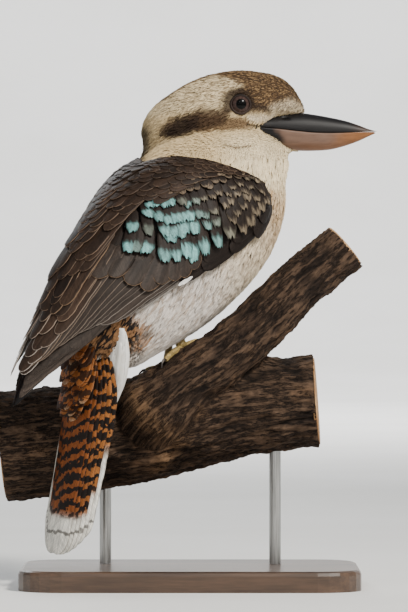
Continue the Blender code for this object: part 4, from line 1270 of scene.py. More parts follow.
# Each row of coverts, from the lowest up: the line of its tips, its count, and their length and width
COVERT_ROWS = (
    (((-0.082, 0.30), (-0.074, 0.50), (-0.066, 0.66), (-0.057, 0.81), (-0.046, 0.895), (-0.034, 0.95),
      (-0.023, 0.975)), 9, 0.046, 0.0175),
    (((-0.047, 0.535), (-0.042, 0.62), (-0.031, 0.815), (-0.021, 0.89), (-0.008, 0.97), (0.014, 1.035),
      (0.030, 1.10), (0.045, 1.09), (0.056, 1.115)), 15, 0.026, 0.0105),
    (((-0.032, 0.475), (-0.022, 0.68), (-0.016, 0.74), (-0.007, 0.795), (0.010, 0.90),
      (0.028, 0.96), (0.044, 0.98), (0.060, 1.02)), 16, 0.021, 0.0088),
    (((-0.018, 0.49), (-0.010, 0.64), (-0.003, 0.705), (0.009, 0.79), (0.026, 0.86),
      (0.044, 0.89), (0.062, 0.95)), 16, 0.018, 0.0080),
    (((-0.011, 0.445), (-0.002, 0.55), (0.006, 0.63), (0.018, 0.71), (0.032, 0.78), (0.046, 0.82),
      (0.064, 0.88)), 15, 0.015, 0.0070),
    (((0.002, 0.46), (0.011, 0.54), (0.022, 0.62), (0.034, 0.69), (0.048, 0.75), (0.066, 0.84)),
     14, 0.013, 0.0064),
    (((0.010, 0.47), (0.020, 0.54), (0.031, 0.60), (0.043, 0.67), (0.056, 0.73), (0.068, 0.82)),
     15, 0.011, 0.0054),
    (((0.018, 0.48), (0.028, 0.53), (0.040, 0.59), (0.052, 0.66), (0.068, 0.78)), 15, 0.010, 0.0048),
)


# The rows with blue tips, and the share of dull feathers in each
BLUE_ROWS = {1: 0.0, 2: 0.06, 3: 0.14, 4: 0.14}


def covert_ends(tips, length):
    """Roots and tips of coverts that point down and back, the rear ones more along the body."""
    along, turn = tips[:, 0], tips[:, 1]
    slope = 0.25 + 0.75 * ramp(along, -0.07, -0.01)
    back = length * (1 - 0.34 * slope)
    round_ = length * 0.80 * slope / 0.085
    return np.stack([along + back, turn - round_, along, turn], -1)


def great_coverts(side, rng, ends, widths, base):
    """Long coverts with buff rims at their tips."""
    count = len(base)
    tip = over(base, "wing_grey", 0.5)
    edge = mixed(varied("buff_edge", count, rng), tip, rng.uniform(0.0, 0.5, count))
    return feathers(side, rng, ends, widths, (-0.0040, 0.0008), base, tip, edge, 0.4, 0.5, rim_from=0.72)


def plain_coverts(side, rng, ends, widths, base, front):
    """Short coverts with pale fringes."""
    count = len(base)
    fringe = mixed(varied("back_fringe", count, rng), varied("grey_tip", count, rng), 0.6 * front)
    tip = mixed(base, fringe, rng.uniform(0.3, 0.8, count))
    return feathers(side, rng, ends, widths, (-0.0014, 0.0018), base, tip, tip * 1.2, 0.80, 0.12,
                    slant=0.05, rows=12, ragged=0.0003, rim_from=0.7)


def blue_coverts(side, rng, ends, widths, base, front, row):
    """Coverts whose ragged tips are blue over the middle of the wing and grey in front."""
    count = len(base)
    rear = ramp(ends[:, 2] + 0.010 * rng.uniform(-1, 1, count), -0.058, -0.042)
    dull = rng.random(count) < BLUE_ROWS[row]
    blue = (1 - front) * rear * np.where(dull, 0.15, rng.uniform(0.75, 1.0, count))
    tip = mixed(base, varied("grey_tip", count, rng), 0.30 + 0.40 * front)
    tip = over(tip, "blue", blue)
    start = 0.60 + 0.20 * front + rng.normal(0, 0.03, count)
    soft = 0.16 - 0.06 * front.mean()
    return feathers(side, rng, ends, widths, (-0.0014, 0.0014 + 0.0001 * row), base, tip,
                    mixed(base, tip, 0.55), start, soft, blunt_outline, slant=0.05, ragged=0.0015,
                    rim_from=0.66, dim=0.85)


def coverts(side, rng):
    """The great coverts, then the blue ones, then the plain ones up to the back."""
    parts = []
    for row, (line, count, length, width) in enumerate(COVERT_ROWS):
        tips = through(line, count) + rng.normal(0, (0.0012, 0.010), (count, 2))
        ends = covert_ends(tips, length * rng.uniform(0.92, 1.08, count))
        widths = width * rng.uniform(0.90, 1.18, count)
        base = varied("wing", count, rng)
        front = ramp(tips[:, 0], -0.004, 0.022)
        if row == 0:
            parts.append(great_coverts(side, rng, ends, widths, base))
        elif row in BLUE_ROWS:
            parts.append(blue_coverts(side, rng, ends, widths, base, front, row))
        else:
            parts.append(plain_coverts(side, rng, ends, widths, base, front))
    return parts


# The roots and tips of the long feathers, as along and turn: lines of them, or each one
PRIMARY_ROOTS = ((-0.028, 0.90), (-0.036, 0.86), (-0.044, 0.80), (-0.048, 0.74))
PRIMARY_TIPS = (
    (-0.168, 0.625), (-0.159, 0.625), (-0.156, 0.54), (-0.150, 0.48), (-0.142, 0.56), (-0.132, 0.62),
    (-0.118, 0.72),
)
SECONDARY_ROOTS = ((-0.006, 0.98), (-0.014, 0.92), (-0.030, 0.76), (-0.042, 0.56), (-0.050, 0.30))
SECONDARY_TIPS = (
    (-0.080, 0.84), (-0.086, 0.82), (-0.094, 0.78), (-0.103, 0.66), (-0.115, 0.57), (-0.127, 0.49),
    (-0.139, 0.42), (-0.147, 0.335),
)
TERTIAL_TIPS = np.array((
    (-0.151, 0.34), (-0.150, 0.26), (-0.143, 0.36), (-0.140, 0.22), (-0.134, 0.29), (-0.130, 0.38),
    (-0.128, 0.12), (-0.123, 0.24), (-0.118, 0.44), (-0.115, 0.14), (-0.110, 0.375), (-0.108, 0.24),
    (-0.100, 0.30),
))


def primaries(side, rng):
    """Long feathers low at the wing's edge, their own dark colour deepened to black as painted shadow under
    the wing.
    """
    count = 12
    ends = np.concatenate([through(PRIMARY_ROOTS, count), through(PRIMARY_TIPS, count)], axis=1)
    # Painted shadow: one feather black, and the rest a grey darkened to 0.45 and 0.7, for the shade low under
    # the wing.
    base = varied("wing_black_and_shade", count, rng)
    base[1:] = varied("wing_grey", count - 1, rng) * 0.45
    base[1:3] = varied("wing_grey", 2, rng) * 0.7
    level = -0.0062 + 0.0003 * np.arange(count)
    return feathers(side, rng, ends, 0.0120, (level, level + 0.0004), base, base * 1.3, base * 2.2, 0.6, 0.3,
                    long_outline, slant=0.12, rows=24, camber=0.03)


def secondaries(side, rng):
    """Grey brown feathers whose rims are white below and buff above."""
    count = 14
    tips = through(SECONDARY_TIPS, count) + rng.normal(0, (0.0010, 0.006), (count, 2))
    ends = np.concatenate([through(SECONDARY_ROOTS, count), tips], axis=1)
    base = over(varied("wing", count, rng), "wing_grey", rng.uniform(0.1, 0.5, count))
    edge = over(np.tile(linear("white"), (count, 1)), "buff_edge", np.linspace(0.45, 0.95, count))
    edge = edge * rng.uniform(0.30, 0.62, (count, 1))
    level = np.linspace(-0.0034, 0.0000, count)
    return feathers(side, rng, ends, 0.0125, (level - 0.0008, level + 0.0002), base, base * 1.25, edge, 0.5,
                    0.4, long_outline, slant=0.13, rows=26, camber=0.03)


def tertials(side, rng):
    """Dark feathers with pale rims over the secondaries."""
    along, turn = TERTIAL_TIPS.T
    count = len(along)
    back = 0.060 * rng.uniform(0.85, 1.1, count)
    ends = np.stack([along + back, turn + rng.normal(0, 0.03, count), along, turn], -1)
    base = over(varied("back", count, rng), "back_light", rng.uniform(0, 0.8, count))
    edge = over(varied("buff_edge", count, rng), "white", np.linspace(0.45, 0.0, count))
    widths = rng.uniform(0.0085, 0.0115, count)
    level = np.linspace(0.0002, 0.0026, count)
    return feathers(side, rng, ends, widths, (-0.0012, level), base, base * 1.4, edge * 0.8, 0.4, 0.5,
                    long_outline, slant=0.12, rows=24, camber=0.05)


# Where the scapulars end towards the wing, as turn for each along
SCAPULAR_EDGE = (
    (-0.112, 0.34), (-0.085, 0.34), (-0.055, 0.31), (-0.03, 0.36), (-0.01, 0.42), (0.012, 0.50),
    (0.035, 0.60), (0.055, 0.76), (0.066, 0.90),
)


def scapular_row(side, rng, along, size, turns, gap):
    """One row of scapulars, whose tips are at one along and at these turns. size is 0 for long ones."""
    count = len(turns)
    width, length = 0.0100 - 0.0038 * size, 0.044 - 0.021 * size
    tips = np.stack([np.full(count, along), turns], -1)
    tips = tips + rng.normal(0, (0.0034 - 0.0022 * size, 0.20 * gap), (count, 2))
    back = length * rng.uniform(0.85, 1.2, count)
    ends = np.stack([tips[:, 0] + back, tips[:, 1] + 0.16 * size, tips[:, 0], tips[:, 1]], -1)
    base = over(varied("back", count, rng, 0.2), "back_light", rng.uniform(0, 0.6, count))
    plain = 0.40 * ramp(along, -0.03, 0.0) * (1 - ramp(turns, 0.35, 0.7))
    plain = np.minimum(rng.uniform(0.1, 0.6, count) + plain, 0.95)
    edge = mixed(varied("back_fringe", count, rng, 0.2), base, plain)
    widths = width * rng.uniform(0.85, 1.15, count)
    return feathers(side, rng, ends, widths, (-0.0008, 0.0022), base, base * 1.25, edge, 0.5, 0.4,
                    long_outline, slant=0.10, camber=0.06)


def scapulars(side, rng):
    """Long dark feathers with thin pale rims, in rows from the rump up over the back to the neck."""
    parts = []
    along = -0.106
    while along < 0.060:
        size = float(ramp(along, -0.07, 0.045))
        last = float(curve(SCAPULAR_EDGE, np.array(along)))
        first = max(-0.02, float(np.interp(along, (0.020, 0.060), (-0.02, 0.66))))
        if last > first:
            spin = np.linalg.norm(arch_frame(np.array(along), np.array(0.2), side)[1])
            gap = (0.0100 - 0.0038 * size) * 0.74 / spin
            turns = np.arange(first + gap * (0.5 * (len(parts) % 2)), last, gap)
            parts.append(scapular_row(side, rng, along, size, turns, gap))
        along += 0.0100 - 0.0062 * size
    return parts


# The wrist's feathers: along and turn of each root and tip
WRIST_ENDS = (
    # Coverts of the primaries
    (0.020, 1.10, -0.034, 0.955), (0.022, 1.06, -0.028, 0.93), (0.024, 1.02, -0.020, 0.92),
    (0.030, 1.16, -0.014, 1.02), (0.030, 1.10, -0.010, 0.985),
    # The alula
    (0.068, 1.22, 0.012, 1.11), (0.066, 1.18, 0.018, 1.07), (0.066, 1.13, 0.026, 1.04),
    (0.068, 1.08, 0.034, 1.02),
    (0.072, 1.20, 0.036, 1.20), (0.074, 1.14, 0.046, 1.15), (0.076, 1.08, 0.056, 1.10),
)
SPOT_ENDS = ((-0.0255, 1.006, -0.0350, 0.990), (-0.0295, 0.993, -0.0380, 0.976))


def wrist(side, rng):
    """The plain dark feathers along the wing's lower front edge, with one white spot."""
    count = len(WRIST_ENDS)
    base = varied("wrist", count, rng)
    level = np.linspace(-0.0026, -0.0004, count)
    dark = feathers(side, rng, WRIST_ENDS, 0.0135, (level - 0.0020, level), base, base * 1.15, base * 1.7,
                    0.6, 0.3, long_outline, slant=0.05, rows=18)
    white = np.tile(linear("white"), (2, 1))
    spot = feathers(side, rng, SPOT_ENDS, 0.0021, (0.0004, 0.0012), white, white, white)
    return [dark, spot]


def wing_pad(name, side, look):
    """A dark pad under the feathers, so that no gap shows between them; its near black is painted shade in
    the gaps.
    """
    along = np.linspace(-0.118, 0.074, 26)[:, None]
    share = np.linspace(0, 1, 16)[None, :]
    low = curve(WING_LOWER_EDGE, along) - 0.04
    high = np.interp(along, (-0.118, 0.024, 0.074), (0.02, 0.02, 0.86))
    turn = high + (low - high) * share
    along = along + 0 * turn
    _, _, normals = arch_frame(along, turn, side)
    rim = (1 - np.abs(2 * share - 1) ** 6) * (1 - np.abs(np.linspace(-1, 1, 26)[:, None]) ** 8)
    level = -0.0062 - 0.0050 * ramp(past_mantle(along, turn), -0.020, 0.006)
    grid = arch_point(along, turn, side) + normals * level[..., None]
    points, faces = sheets(grid[None], normals[None], 0.0010 + 0.0030 * rim[None])
    return add_piece(name, points, [faces], look)


def build_wing(side, name, look, pad_look):
    """One wing's loose feathers. side is 1 on the right and -1 on the left."""
    rng = np.random.default_rng(40 + side)
    flight = [primaries(side, rng), secondaries(side, rng), tertials(side, rng)]
    flight = add_vanes(name + "_flight", flight + wrist(side, rng), look)
    add_vanes(name + "_coverts", coverts(side, rng), look)
    add_vanes(name + "_scapulars", scapulars(side, rng), look)
    pad = wing_pad(name + "_pad", side, pad_look)
    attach(pad, "root")
    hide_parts(name)


# The tail

def tail_axes():
    """The tail's way down, its right and its upper face's normal."""
    straight = np.array((-math.cos(BODY_HEADING) * math.cos(TAIL_PITCH),
                         -math.sin(BODY_HEADING) * math.cos(TAIL_PITCH), -math.sin(TAIL_PITCH)))
    down = straight * math.cos(TAIL_SWAY) - BODY_RIGHT * math.sin(TAIL_SWAY)
    right = BODY_RIGHT * math.cos(TAIL_SWAY) + straight * math.sin(TAIL_SWAY)
    return down, right, np.cross(right, -down)


def hung_vanes(rng, rows, length, across, level, width, shape, begin=0.004):
    """A group of vanes that hang from the tail's root: their grid, normals, lengths, half widths and steps.

    length and level are by feather, and across by feather and row.
    """
    down, right, face = tail_axes()
    t = row_places(rows)
    halves = half_widths(many(width, len(length)), shape(t), rng, 0.05)
    aside = COLUMNS * halves
    x = across[..., None] + aside
    lean = (-2 * across / TAIL_ARCH)[..., None]
    height = level[:, None, None] - across[..., None] ** 2 / TAIL_ARCH + lean * aside
    height = height + TAIL_BEND * (t * t)[None, :, None] - TAIL_CAMBER * COLUMNS ** 2 * halves
    run = begin + (length[:, None] - begin) * t
    grid = on_body(*TAIL_ROOT) + down * run[..., None, None] + right * x[..., None] + face * height[..., None]
    normals = np.broadcast_to(unit(face - right * lean[..., None]), grid.shape)
    return grid, normals, length, halves, t


def tail_part(rng, hung, width, tints, edges, bars):
    """A group of hanging vanes with their colours, and how much of the bars each point has."""
    grid, normals, lengths, halves, t = hung
    points, faces = sheets(grid, normals, thicknesses(t, many(width, len(grid))))
    layers, maps = vane_layers(rng, lengths, halves, t, tints, edges)
    layers["bars"] = both_faces(np.broadcast_to(bars, halves.shape))
    return points, faces, layers, maps


def rectrix_outline(t):
    """A tail feather's sides are even nearly to its tip."""
    return outline(t, 0.5, 0.25, 0.90, 2.4)


def tail_white(t, shape):
    """How white the tail feathers are: at their tips, and further up on the outer two of each side."""
    white = np.broadcast_to(ramp(t, 0.80, 0.835)[None, :, None], shape).copy()
    web = ramp(t, 0.48, 0.58)[:, None] * ramp(COLUMNS, 0.05, 0.35)[None]
    for outermost, outer_web in ((RECTRICES - 1, web[:, ::-1]), (2 * RECTRICES - 1, web)):
        white[outermost] = np.maximum(white[outermost], outer_web)
        white[outermost - 1] = np.maximum(white[outermost - 1], ramp(t, 0.70, 0.76)[:, None])
    return white


def rectrices(rng):
    """The twelve long feathers of the tail."""
    rows = 40
    t = row_places(rows)
    place = np.array([(side, i) for side in (-1, 1) for i in range(RECTRICES)], float)
    side, i = place[:, 0], place[:, 1]
    length = TAIL_LENGTH * (1.0 - TAIL_STEP * i * i)
    start = side * (0.0022 + 0.0020 * i)
    end = side * (0.0035 + 0.0027 * i)
    widest = side * (0.0040 + 0.0032 * i)
    opening = 1 - (1 - np.minimum(1.0, t / TAIL_WIDEST)) ** 2
    closing = np.maximum(0, (t - TAIL_WIDEST) / (1 - TAIL_WIDEST))
    across = start[:, None] + np.outer(widest - start, opening) + np.outer(end - widest, closing)
    level = -TAIL_LAYER * i - np.where(side < 0, 0.5 * TAIL_LAYER, 0.0)
    hung = hung_vanes(rng, rows, length, across, level, RECTRIX_WIDTH, rectrix_outline)
    white = tail_white(t, hung[3].shape)
    # Painted light: feathers are paler the further they lie to the tail's right, the side the light falls on.
    warm = over(varied("rufous", len(place), rng), "rufous_pale", ramp(side * i, -1, 5))
    tints = over(np.broadcast_to(warm[:, None, None], (*white.shape, 3)), "tail_white", white)
    return tail_part(rng, hung, RECTRIX_WIDTH, tints, over(tints, "wing_grey", 0.45), 1 - 0.97 * white)


def root_coverts(rng):
    """Barred feathers over the tail's root."""
    count, rows, width = 28, 16, 0.0130
    shares = rng.permutation(np.linspace(-1, 1, count))
    length = rng.permutation(np.linspace(0.012, 0.064, count)) * (1 - 0.25 * np.abs(shares))
    begin = length - rng.uniform(0.034, 0.044, count)
    t = row_places(rows)
    across = shares[:, None] * (0.007 + 0.006 * t[None])
    level = 0.0012 + 0.0040 * (0.064 - length) / 0.052
    hung = hung_vanes(rng, rows, length, across, level, width, outline, begin[:, None])
    shape = hung[3].shape
    warm = over(varied("rufous", count, rng, 0.2), "rufous_pale", rng.uniform(0, 0.6, count))
    pale = ramp(t, 0.90, 0.99)[None, :, None] * (rng.random(count) < 0.14)[:, None, None]
    tints = over(np.broadcast_to(warm[:, None, None], (*shape, 3)), "buff_edge", np.broadcast_to(pale, shape))
    return tail_part(rng, hung, width, tints, over(tints, "cream", 0.12), 0.9)


def build_tail(look):
    """The tail's feathers, with the barred ones over their root."""
    rng = np.random.default_rng(7)
    parts = [rectrices(rng), root_coverts(rng)]
    obj = add_vanes("tail_feathers", parts, look)
    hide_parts("tail")


# The white tuft under the tail

def tuft_root():
    """Where the tuft starts."""
    return on_body(*TAIL_ROOT) + sum(k * v for k, v in zip(TUFT_PLACE, tail_axes()))


def tuft_bow(share):
    """How the tuft bows: out of the body's side at its top, and towards the tail at its tip."""
    _, right, face = tail_axes()
    share = np.asarray(share)[..., None]
    return face * 0.003 * share ** 2 + (right * 0.77 + face * 0.64) * 0.0215 * (1 - share) ** 2


def tuft_width(share):
    """The tuft's half width along it, round at its top and thin at its tip."""
    swell = np.sin(math.pi * (0.03 + 0.73 * np.minimum(share, 1))) ** 0.6
    return 0.0133 * swell * (1 - share ** 2.4) + 0.0004


def tuft_core():
    """The tuft's smooth core, as points and faces."""
    down, right, face = tail_axes()
    rings = []
    for share in np.linspace(0, 1, 30):
        wide = tuft_width(share)
        centre = tuft_root() + down * (TUFT_LENGTH * share - TUFT_RISE) + tuft_bow(share)
        across, height = oval(28, wide, TUFT_FLATNESS * wide, TUFT_FLATNESS * wide)
        rings.append(centre + across[:, None] * right + height[:, None] * face)
    return lofted(rings)


def tuft_locks():
    """Soft narrow locks over the tuft's core, as points and faces."""
    down, right, face = tail_axes()
    rng = np.random.default_rng(17)
    count, t = 90, row_places(12)
    length = rng.uniform(0.018, 0.034, count)
    begin = rng.uniform(0, 1, count) * (TUFT_LENGTH - length)
    around = rng.uniform(0, 2 * math.pi, count)
    run = begin[:, None] + length[:, None] * t
    share = run / TUFT_LENGTH
    wide = tuft_width(share) + 0.0002
    s, c = np.sin(around)[:, None], np.cos(around)[:, None]
    middle = (tuft_root() + down * (run - TUFT_RISE)[..., None] + right * (wide * s)[..., None]
              + face * (0.57 * wide * c)[..., None] + tuft_bow(share))
    normals = unit(right * (s * 0.57)[..., None] + face * c[..., None] + 0 * middle)
    sides = np.cross(normals, down)
    half = rng.uniform(0.0012, 0.0024, count)[:, None] * outline(t)[None]
    lift = 0.0005 * t[None, :, None] - 0.25 * COLUMNS ** 2 * half[..., None]
    grid = middle[:, :, None] + sides[:, :, None] * (COLUMNS * half[..., None])[..., None]
    grid = grid + normals[:, :, None] * lift[..., None]
    normals = np.broadcast_to(normals[:, :, None], grid.shape)
    points, faces = sheets(grid, normals, 0.0003 + 0 * grid[..., 0])
    return points, [faces]


def build_tuft(look):
    """The tuft's core and its locks as one piece."""
    points, faces = joined([tuft_core(), tuft_locks()])
    obj = add_piece("tuft_locks", points, faces, look)
    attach(obj, "root")
    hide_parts("undertail")


# The bill

def bill_half(name, upper, look):
    """One mandible, flat where the two meet, with its edge a little proud along the mouth line."""
    a = np.linspace(0, math.pi, 40)
    rings = []
    for forward in BILL[0][0] + (BILL[-1][0] - BILL[0][0]) * np.linspace(0, 1, 90):
        culmen, mouth, gonys, width = smooth(BILL, forward)
        flat = mouth + 0.00018 if upper else mouth - 0.00018
        reach = culmen - flat if upper else gonys - flat
        across = width * np.sign(np.cos(a)) * np.abs(np.cos(a)) ** 0.8
        height = flat + reach * np.maximum(0.0, np.sin(a)) ** 0.9
        if upper:
            away = np.hypot((forward - NOSTRIL[0]) / 0.0034, (height - NOSTRIL[1]) / 0.0012)
            across = across * (1 - 0.10 * (1 - ramp(away, 0.5, 1.2)))
        rings.append(HEAD_MIDDLE + np.stack([np.full(len(a), forward), across, height], -1))
    points, faces = lofted(rings)
    tip_up = BILL[-1][2] + (0.0003 if upper else -0.0009)
    tip_forward = BILL_TIP_FORWARD if upper else BILL[-1][0] + 0.0012
    points[-1] = HEAD_MIDDLE + np.array((tip_forward, 0, tip_up))
    obj = add_piece(name, points, faces, look, {"tint": bill_tint(points, upper)})
    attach(obj, "root")
    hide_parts(name.replace("_horn", ""))


def bill_tint(points, upper):
    """The upper mandible is black and paler at its tip, the lower one horn and orange past its black root."""
    forward, _, up = in_head(points)
    warp = ripples(points, 0.010, 11)
    if upper:
        black = np.broadcast_to(linear("bill_black"), points.shape)
        colour = over(black, "bill_horn", ramp(forward + 3 * warp, 78, 92) * 0.35)
        # Painted shade: the nostril's opening is painted black, for the dark inside it.
        away = np.hypot((forward - NOSTRIL[0] * 1000) / 3.0, (up - NOSTRIL[1] * 1000) / 1.0)
        return mixed(colour, np.zeros(3), 1 - ramp(away, 0.4, 1.1))
    colour = over(linear("bill_horn"), "bill_orange", ramp(forward + 4 * warp, 60, 84))
    colour = over(colour, "bill_orange", ramp(-up, 24, 30) * 0.5 * ramp(forward, 30, 50))
    return over(colour, "bill_black", 1 - ramp(forward + 3 * warp + 0.5 * (up + 20), 27, 34))


# The eyes and their lids

def eye_axis(side, forms):
    """The way an eye looks, out of the head and a little forward. forms is the head's search tree."""
    sign = -1 if side == "right" else 1
    start = HEAD_MIDDLE + np.array((EYE_PLACE[0], sign * 2 * SKULL_HALF_WIDTH, EYE_PLACE[1]))
    _, normal, _, _ = forms.ray_cast(Vector(start), Vector((0, -sign, 0)))
    return unit(np.array(normal) + np.array((0.10, sign * 1.2, 0.0)))


def square_axes(axis):
    """Two directions square to an axis, the first of them level."""
    level = unit(np.cross(np.array((0.0, 0.0, 1.0)), axis))
    return level, np.cross(axis, level)


def eye_tint(tilt, spoke):
    """The eye's colours by the distance from its front, with fibres that run along the spokes of the iris."""
    fibres = 0.5 + 0.25 * np.sin(spoke * 37 + 2 * np.sin(spoke * 5)) + 0.25 * np.sin(spoke * 61 + 1.3)
    iris = over(linear("iris"), "iris_fibre", fibres * 0.6)
    iris = over(iris, "iris_rim", ramp(tilt, 0.0052, 0.0062) * 0.6)
    colour = mixed(np.broadcast_to(linear("pupil"), iris.shape), iris, ramp(tilt, 0.0034, 0.0039))
    return over(colour, "eye_rim", ramp(tilt, 0.0062, 0.0067))


def build_eye(side, look, forms):
    """A dark eyeball, whose clear front bulges a little."""
    centre, axis = EYES[side], eye_axis(side, forms)
    level, up = square_axes(axis)
    polar = np.concatenate([np.linspace(0, 1.0, 34)[1:], np.linspace(1.0, 2.9, 14)[1:]])
    a = circle(72)
    rings = []
    for p in polar:
        bulge = 0.0004 * (1 - ramp(p, 0.2, 0.9))
        radius = EYEBALL_RADIUS - 0.00015 + bulge
        around = np.cos(a)[:, None] * level + np.sin(a)[:, None] * up
        rings.append(centre + radius * (math.cos(p) * axis + math.sin(p) * around))
    points, faces = lofted(rings)
    points[-2] = centre + (EYEBALL_RADIUS + 0.00025) * axis
    away = unit(points - centre)
    tilt = np.arccos(np.clip(away @ axis, -1, 1)) * EYEBALL_RADIUS
    tint = eye_tint(tilt, np.arctan2(away @ up, away @ level))
    obj = add_piece("eyeball_" + side, points, faces, look, {"tint": tint})
    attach(obj, "root")
    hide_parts("eye_" + side)


def build_lid(side, look, forms):
    """A bare ring of skin round the eye, folded twice and thicker below."""
    centre, axis = EYES[side], eye_axis(side, forms)
    level, up = square_axes(axis)
    around_count, across_count = 96, 14
    b = circle(across_count)
    reach = math.sqrt(EYEBALL_RADIUS ** 2 - EYE_OPENING_RADIUS ** 2)
    dark = np.broadcast_to(linear("lid"), (across_count, 3))
    rings, tints = [], []
    for angle in circle(around_count):
        out = math.cos(angle) * level + math.sin(angle) * up
        lower = 0.5 - 0.5 * math.sin(angle)
        squeeze = 1 - 0.08 * abs(math.sin(angle))
        middle = centre + axis * (reach - 0.0001) + out * (EYE_OPENING_RADIUS + 0.0004) * squeeze
        fold = 1 + 0.13 * np.cos(3 * b) + 0.05 * math.sin(angle * 29)
        wide, deep = (0.0006 + 0.0003 * lower) * fold * np.cos(b), 0.0007 * fold * np.sin(b)
        rings.append(middle + out * wide[:, None] + axis * deep[:, None])
        pale = (0.25 + 0.75 * lower) * (0.45 + 0.55 * np.clip(-np.cos(b), 0, 1))
        tints.append(over(dark, "lid_light", pale))
    faces = [ring_quads(around_count, across_count, True)]
    obj = add_piece("eyelid_" + side, np.concatenate(rings), faces, look, {"tint": np.concatenate(tints)})
    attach(obj, "root")


# The perch

def limb_of(rows, count):
    """A limb's rings, centres, radii, ways ahead and sides, step by step."""
    picked = through(rows, LIMB_STEPS)
    centres, radii = picked[:, :3], picked[:, 3]
    ahead = unit(np.gradient(centres, axis=0))
    side = np.array((0.0, 1.0, 0.0))
    a = circle(count)
    rings, sides = [], []
    for centre, radius, way in zip(centres, radii, ahead):
        side = unit(side - way * (side @ way))
        sides.append(side)
        up = np.cross(way, side)
        rings.append(centre + radius * (np.cos(a)[:, None] * side + np.sin(a)[:, None] * up))
    return np.array(rings), centres, radii, ahead, np.array(sides)


def nearest_steps(points, centres, radii):
    """For each point, the step of the limbs whose surface is nearest."""
    nearest = np.empty(len(points), int)
    for i in range(0, len(points), 4000):
        gaps = np.linalg.norm(points[i:i + 4000, None] - centres[None], axis=-1) - radii[None]
        nearest[i:i + 4000] = np.argmin(gaps, axis=1)
    return nearest


def straightened(points, limb, fork):
    """Points as on limbs laid straight, so that furrows run along them, and the limb's way at each."""
    centres, radii, ahead, sides = (np.concatenate(pair) for pair in zip(limb[1:], fork[1:]))
    steps = np.linalg.norm(np.diff(centres, axis=0), axis=1)
    runs = np.concatenate([[0.0], np.cumsum(steps)])
    nearest = nearest_steps(points, centres, radii)
    way, side = ahead[nearest], sides[nearest]
    away = points - centres[nearest]
    straight = np.stack([runs[nearest] + dot(away, way)[:, 0], dot(away, side)[:, 0],
                         dot(away, np.cross(way, side))[:, 0]], -1)
    return straight, way


def collar_share(points, begin, end):
    """How much of the swollen collar where the fork leaves the limb is on each point."""
    line = unit(end - begin)
    past = points - begin
    run = past @ line
    from_line = np.linalg.norm(past - run[:, None] * line, axis=1)
    ridge = np.exp(-((from_line - 0.0300) / 0.0042) ** 2)
    return ridge * ramp(run, -0.030, -0.012) * (1 - ramp(run, 0.002, 0.02))


def build_perch(bark, sawn):
    """The limb and its fork as one skin of bark, with a disc on each of the three cut ends."""
    limb, fork = limb_of(LIMB, 56), limb_of(FORK, 44)
    points, faces = joined([lofted(limb[0]), lofted(fork[0])])
    points, normals, quads = remeshed(points, faces, 0.0012, 3)
    straight, way = straightened(points, limb, fork)
    furrow = ripples(straight * (0.28, 1, 1), 0.0080, 21, 4)
    plates = ripples(straight * (0.5, 1, 1), 0.0042, 24)
    lumps = ripples(points, 0.024, 22)
    grit = ripples(points, 0.0030, 23)
    collar = collar_share(points, *(fork[1][step] for step in COLLAR_STEPS))
    ends = np.abs(dot(normals, way)[:, 0]) > 0.75
    height = (0.0014 * (1 - 2.2 * np.abs(furrow)) + 0.0007 * plates + 0.0016 * lumps + 0.0005 * grit
              + 0.0018 * collar - 0.0008)
    points = points + normals * np.where(ends, -0.0002, height)[:, None]
    # How low each point lies, for the bark's darker hollows: partly their own colour, partly painted shade.
    hollow = np.clip(0.42 - height / 0.0036, 0, 1)
    obj = add_piece("perch_bark", points, [quads], bark,
                    {"hollow": hollow, "grain": straight, "collar": 0.7 * collar})
    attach(obj, "root")
    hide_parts("perch")
    cuts = (("left", limb, 0, 1), ("right", limb, -1, -2), ("top", fork, -1, -2))
    for name, branch, last, inner in cuts:
        build_sawn_end("perch_end_" + name, branch[0][last], branch[1][last], branch[1][inner], sawn)


def build_sawn_end(name, ring, centre, inward, look):
    """A thin disc of pale wood over a cut end."""
    way = unit(centre - inward)
    shares = np.concatenate([np.linspace(0.02, 0.95, 14), [0.95, 0.05]])
    depth = np.concatenate([np.full(14, 0.0004), [-0.002, -0.002]])
    rings = np.array([centre + (ring - centre) * s + way * d for s, d in zip(shares, depth)])
    points, faces = lofted(rings)
    radii = np.linalg.norm(points - centre, axis=1)
    obj = add_piece(name, points, faces, look, {"rings": radii})
    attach(obj, "root")


# The room

def build_floor(look):
    """A pale floor that turns up far away into a round wall."""
    count = 96
    a = circle(count)
    rings = [np.stack([r * np.cos(a), r * np.sin(a), np.full(count, z)], -1) for r, z in FLOOR_PROFILE]
    floor = add_piece("floor", np.array(rings), [ring_quads(len(rings), count)], look)


def add_area_light(name, place, target, size, power, colour):
    """A round lamp at a place that faces its target."""
    data = bpy.data.lights.new(name, "AREA")
    data.shape = "DISK"
    data.size = size
    data.energy = power
    data.color = colour
    lamp = bpy.data.objects.new(name, data)
    lamp.location = place
    lamp.rotation_euler = (Vector(target) - Vector(place)).to_track_quat("-Z", "Y").to_euler()
    bpy.context.scene.collection.objects.link(lamp)


def build_lights():
    """The lamps, and the room's even light."""
    for lamp in LAMPS:
        add_area_light(*lamp)
    world = bpy.data.worlds.new("room")
    world.use_nodes = True
    world.node_tree.nodes["Background"].inputs[0].default_value = (0.90, 0.95, 1.0, 1)
    world.node_tree.nodes["Background"].inputs[1].default_value = 0.31
    bpy.context.scene.world = world


def build_camera():
    """The camera, square to the picture's middle."""
    data = bpy.data.cameras.new("camera")
    data.lens = SENSOR_WIDTH * CAMERA_DISTANCE / PICTURE_WIDTH
    data.sensor_width = SENSOR_WIDTH
    camera = bpy.data.objects.new("camera", data)
    camera.location = (PICTURE_MIDDLE[0], -CAMERA_DISTANCE, PICTURE_MIDDLE[1])
    camera.rotation_euler = (math.pi / 2, 0, 0)
    bpy.context.scene.collection.objects.link(camera)
    bpy.context.scene.camera = camera


# Where the coats grow

def under_wing(points):
    """Where the wing and the mantle cover the body."""
    along, turn = turn_of(points)
    low = curve(WING_LOWER_EDGE, along) - 0.10
    return (turn < low) & (past_mantle(along, turn) < -0.004) & (along > -0.12)


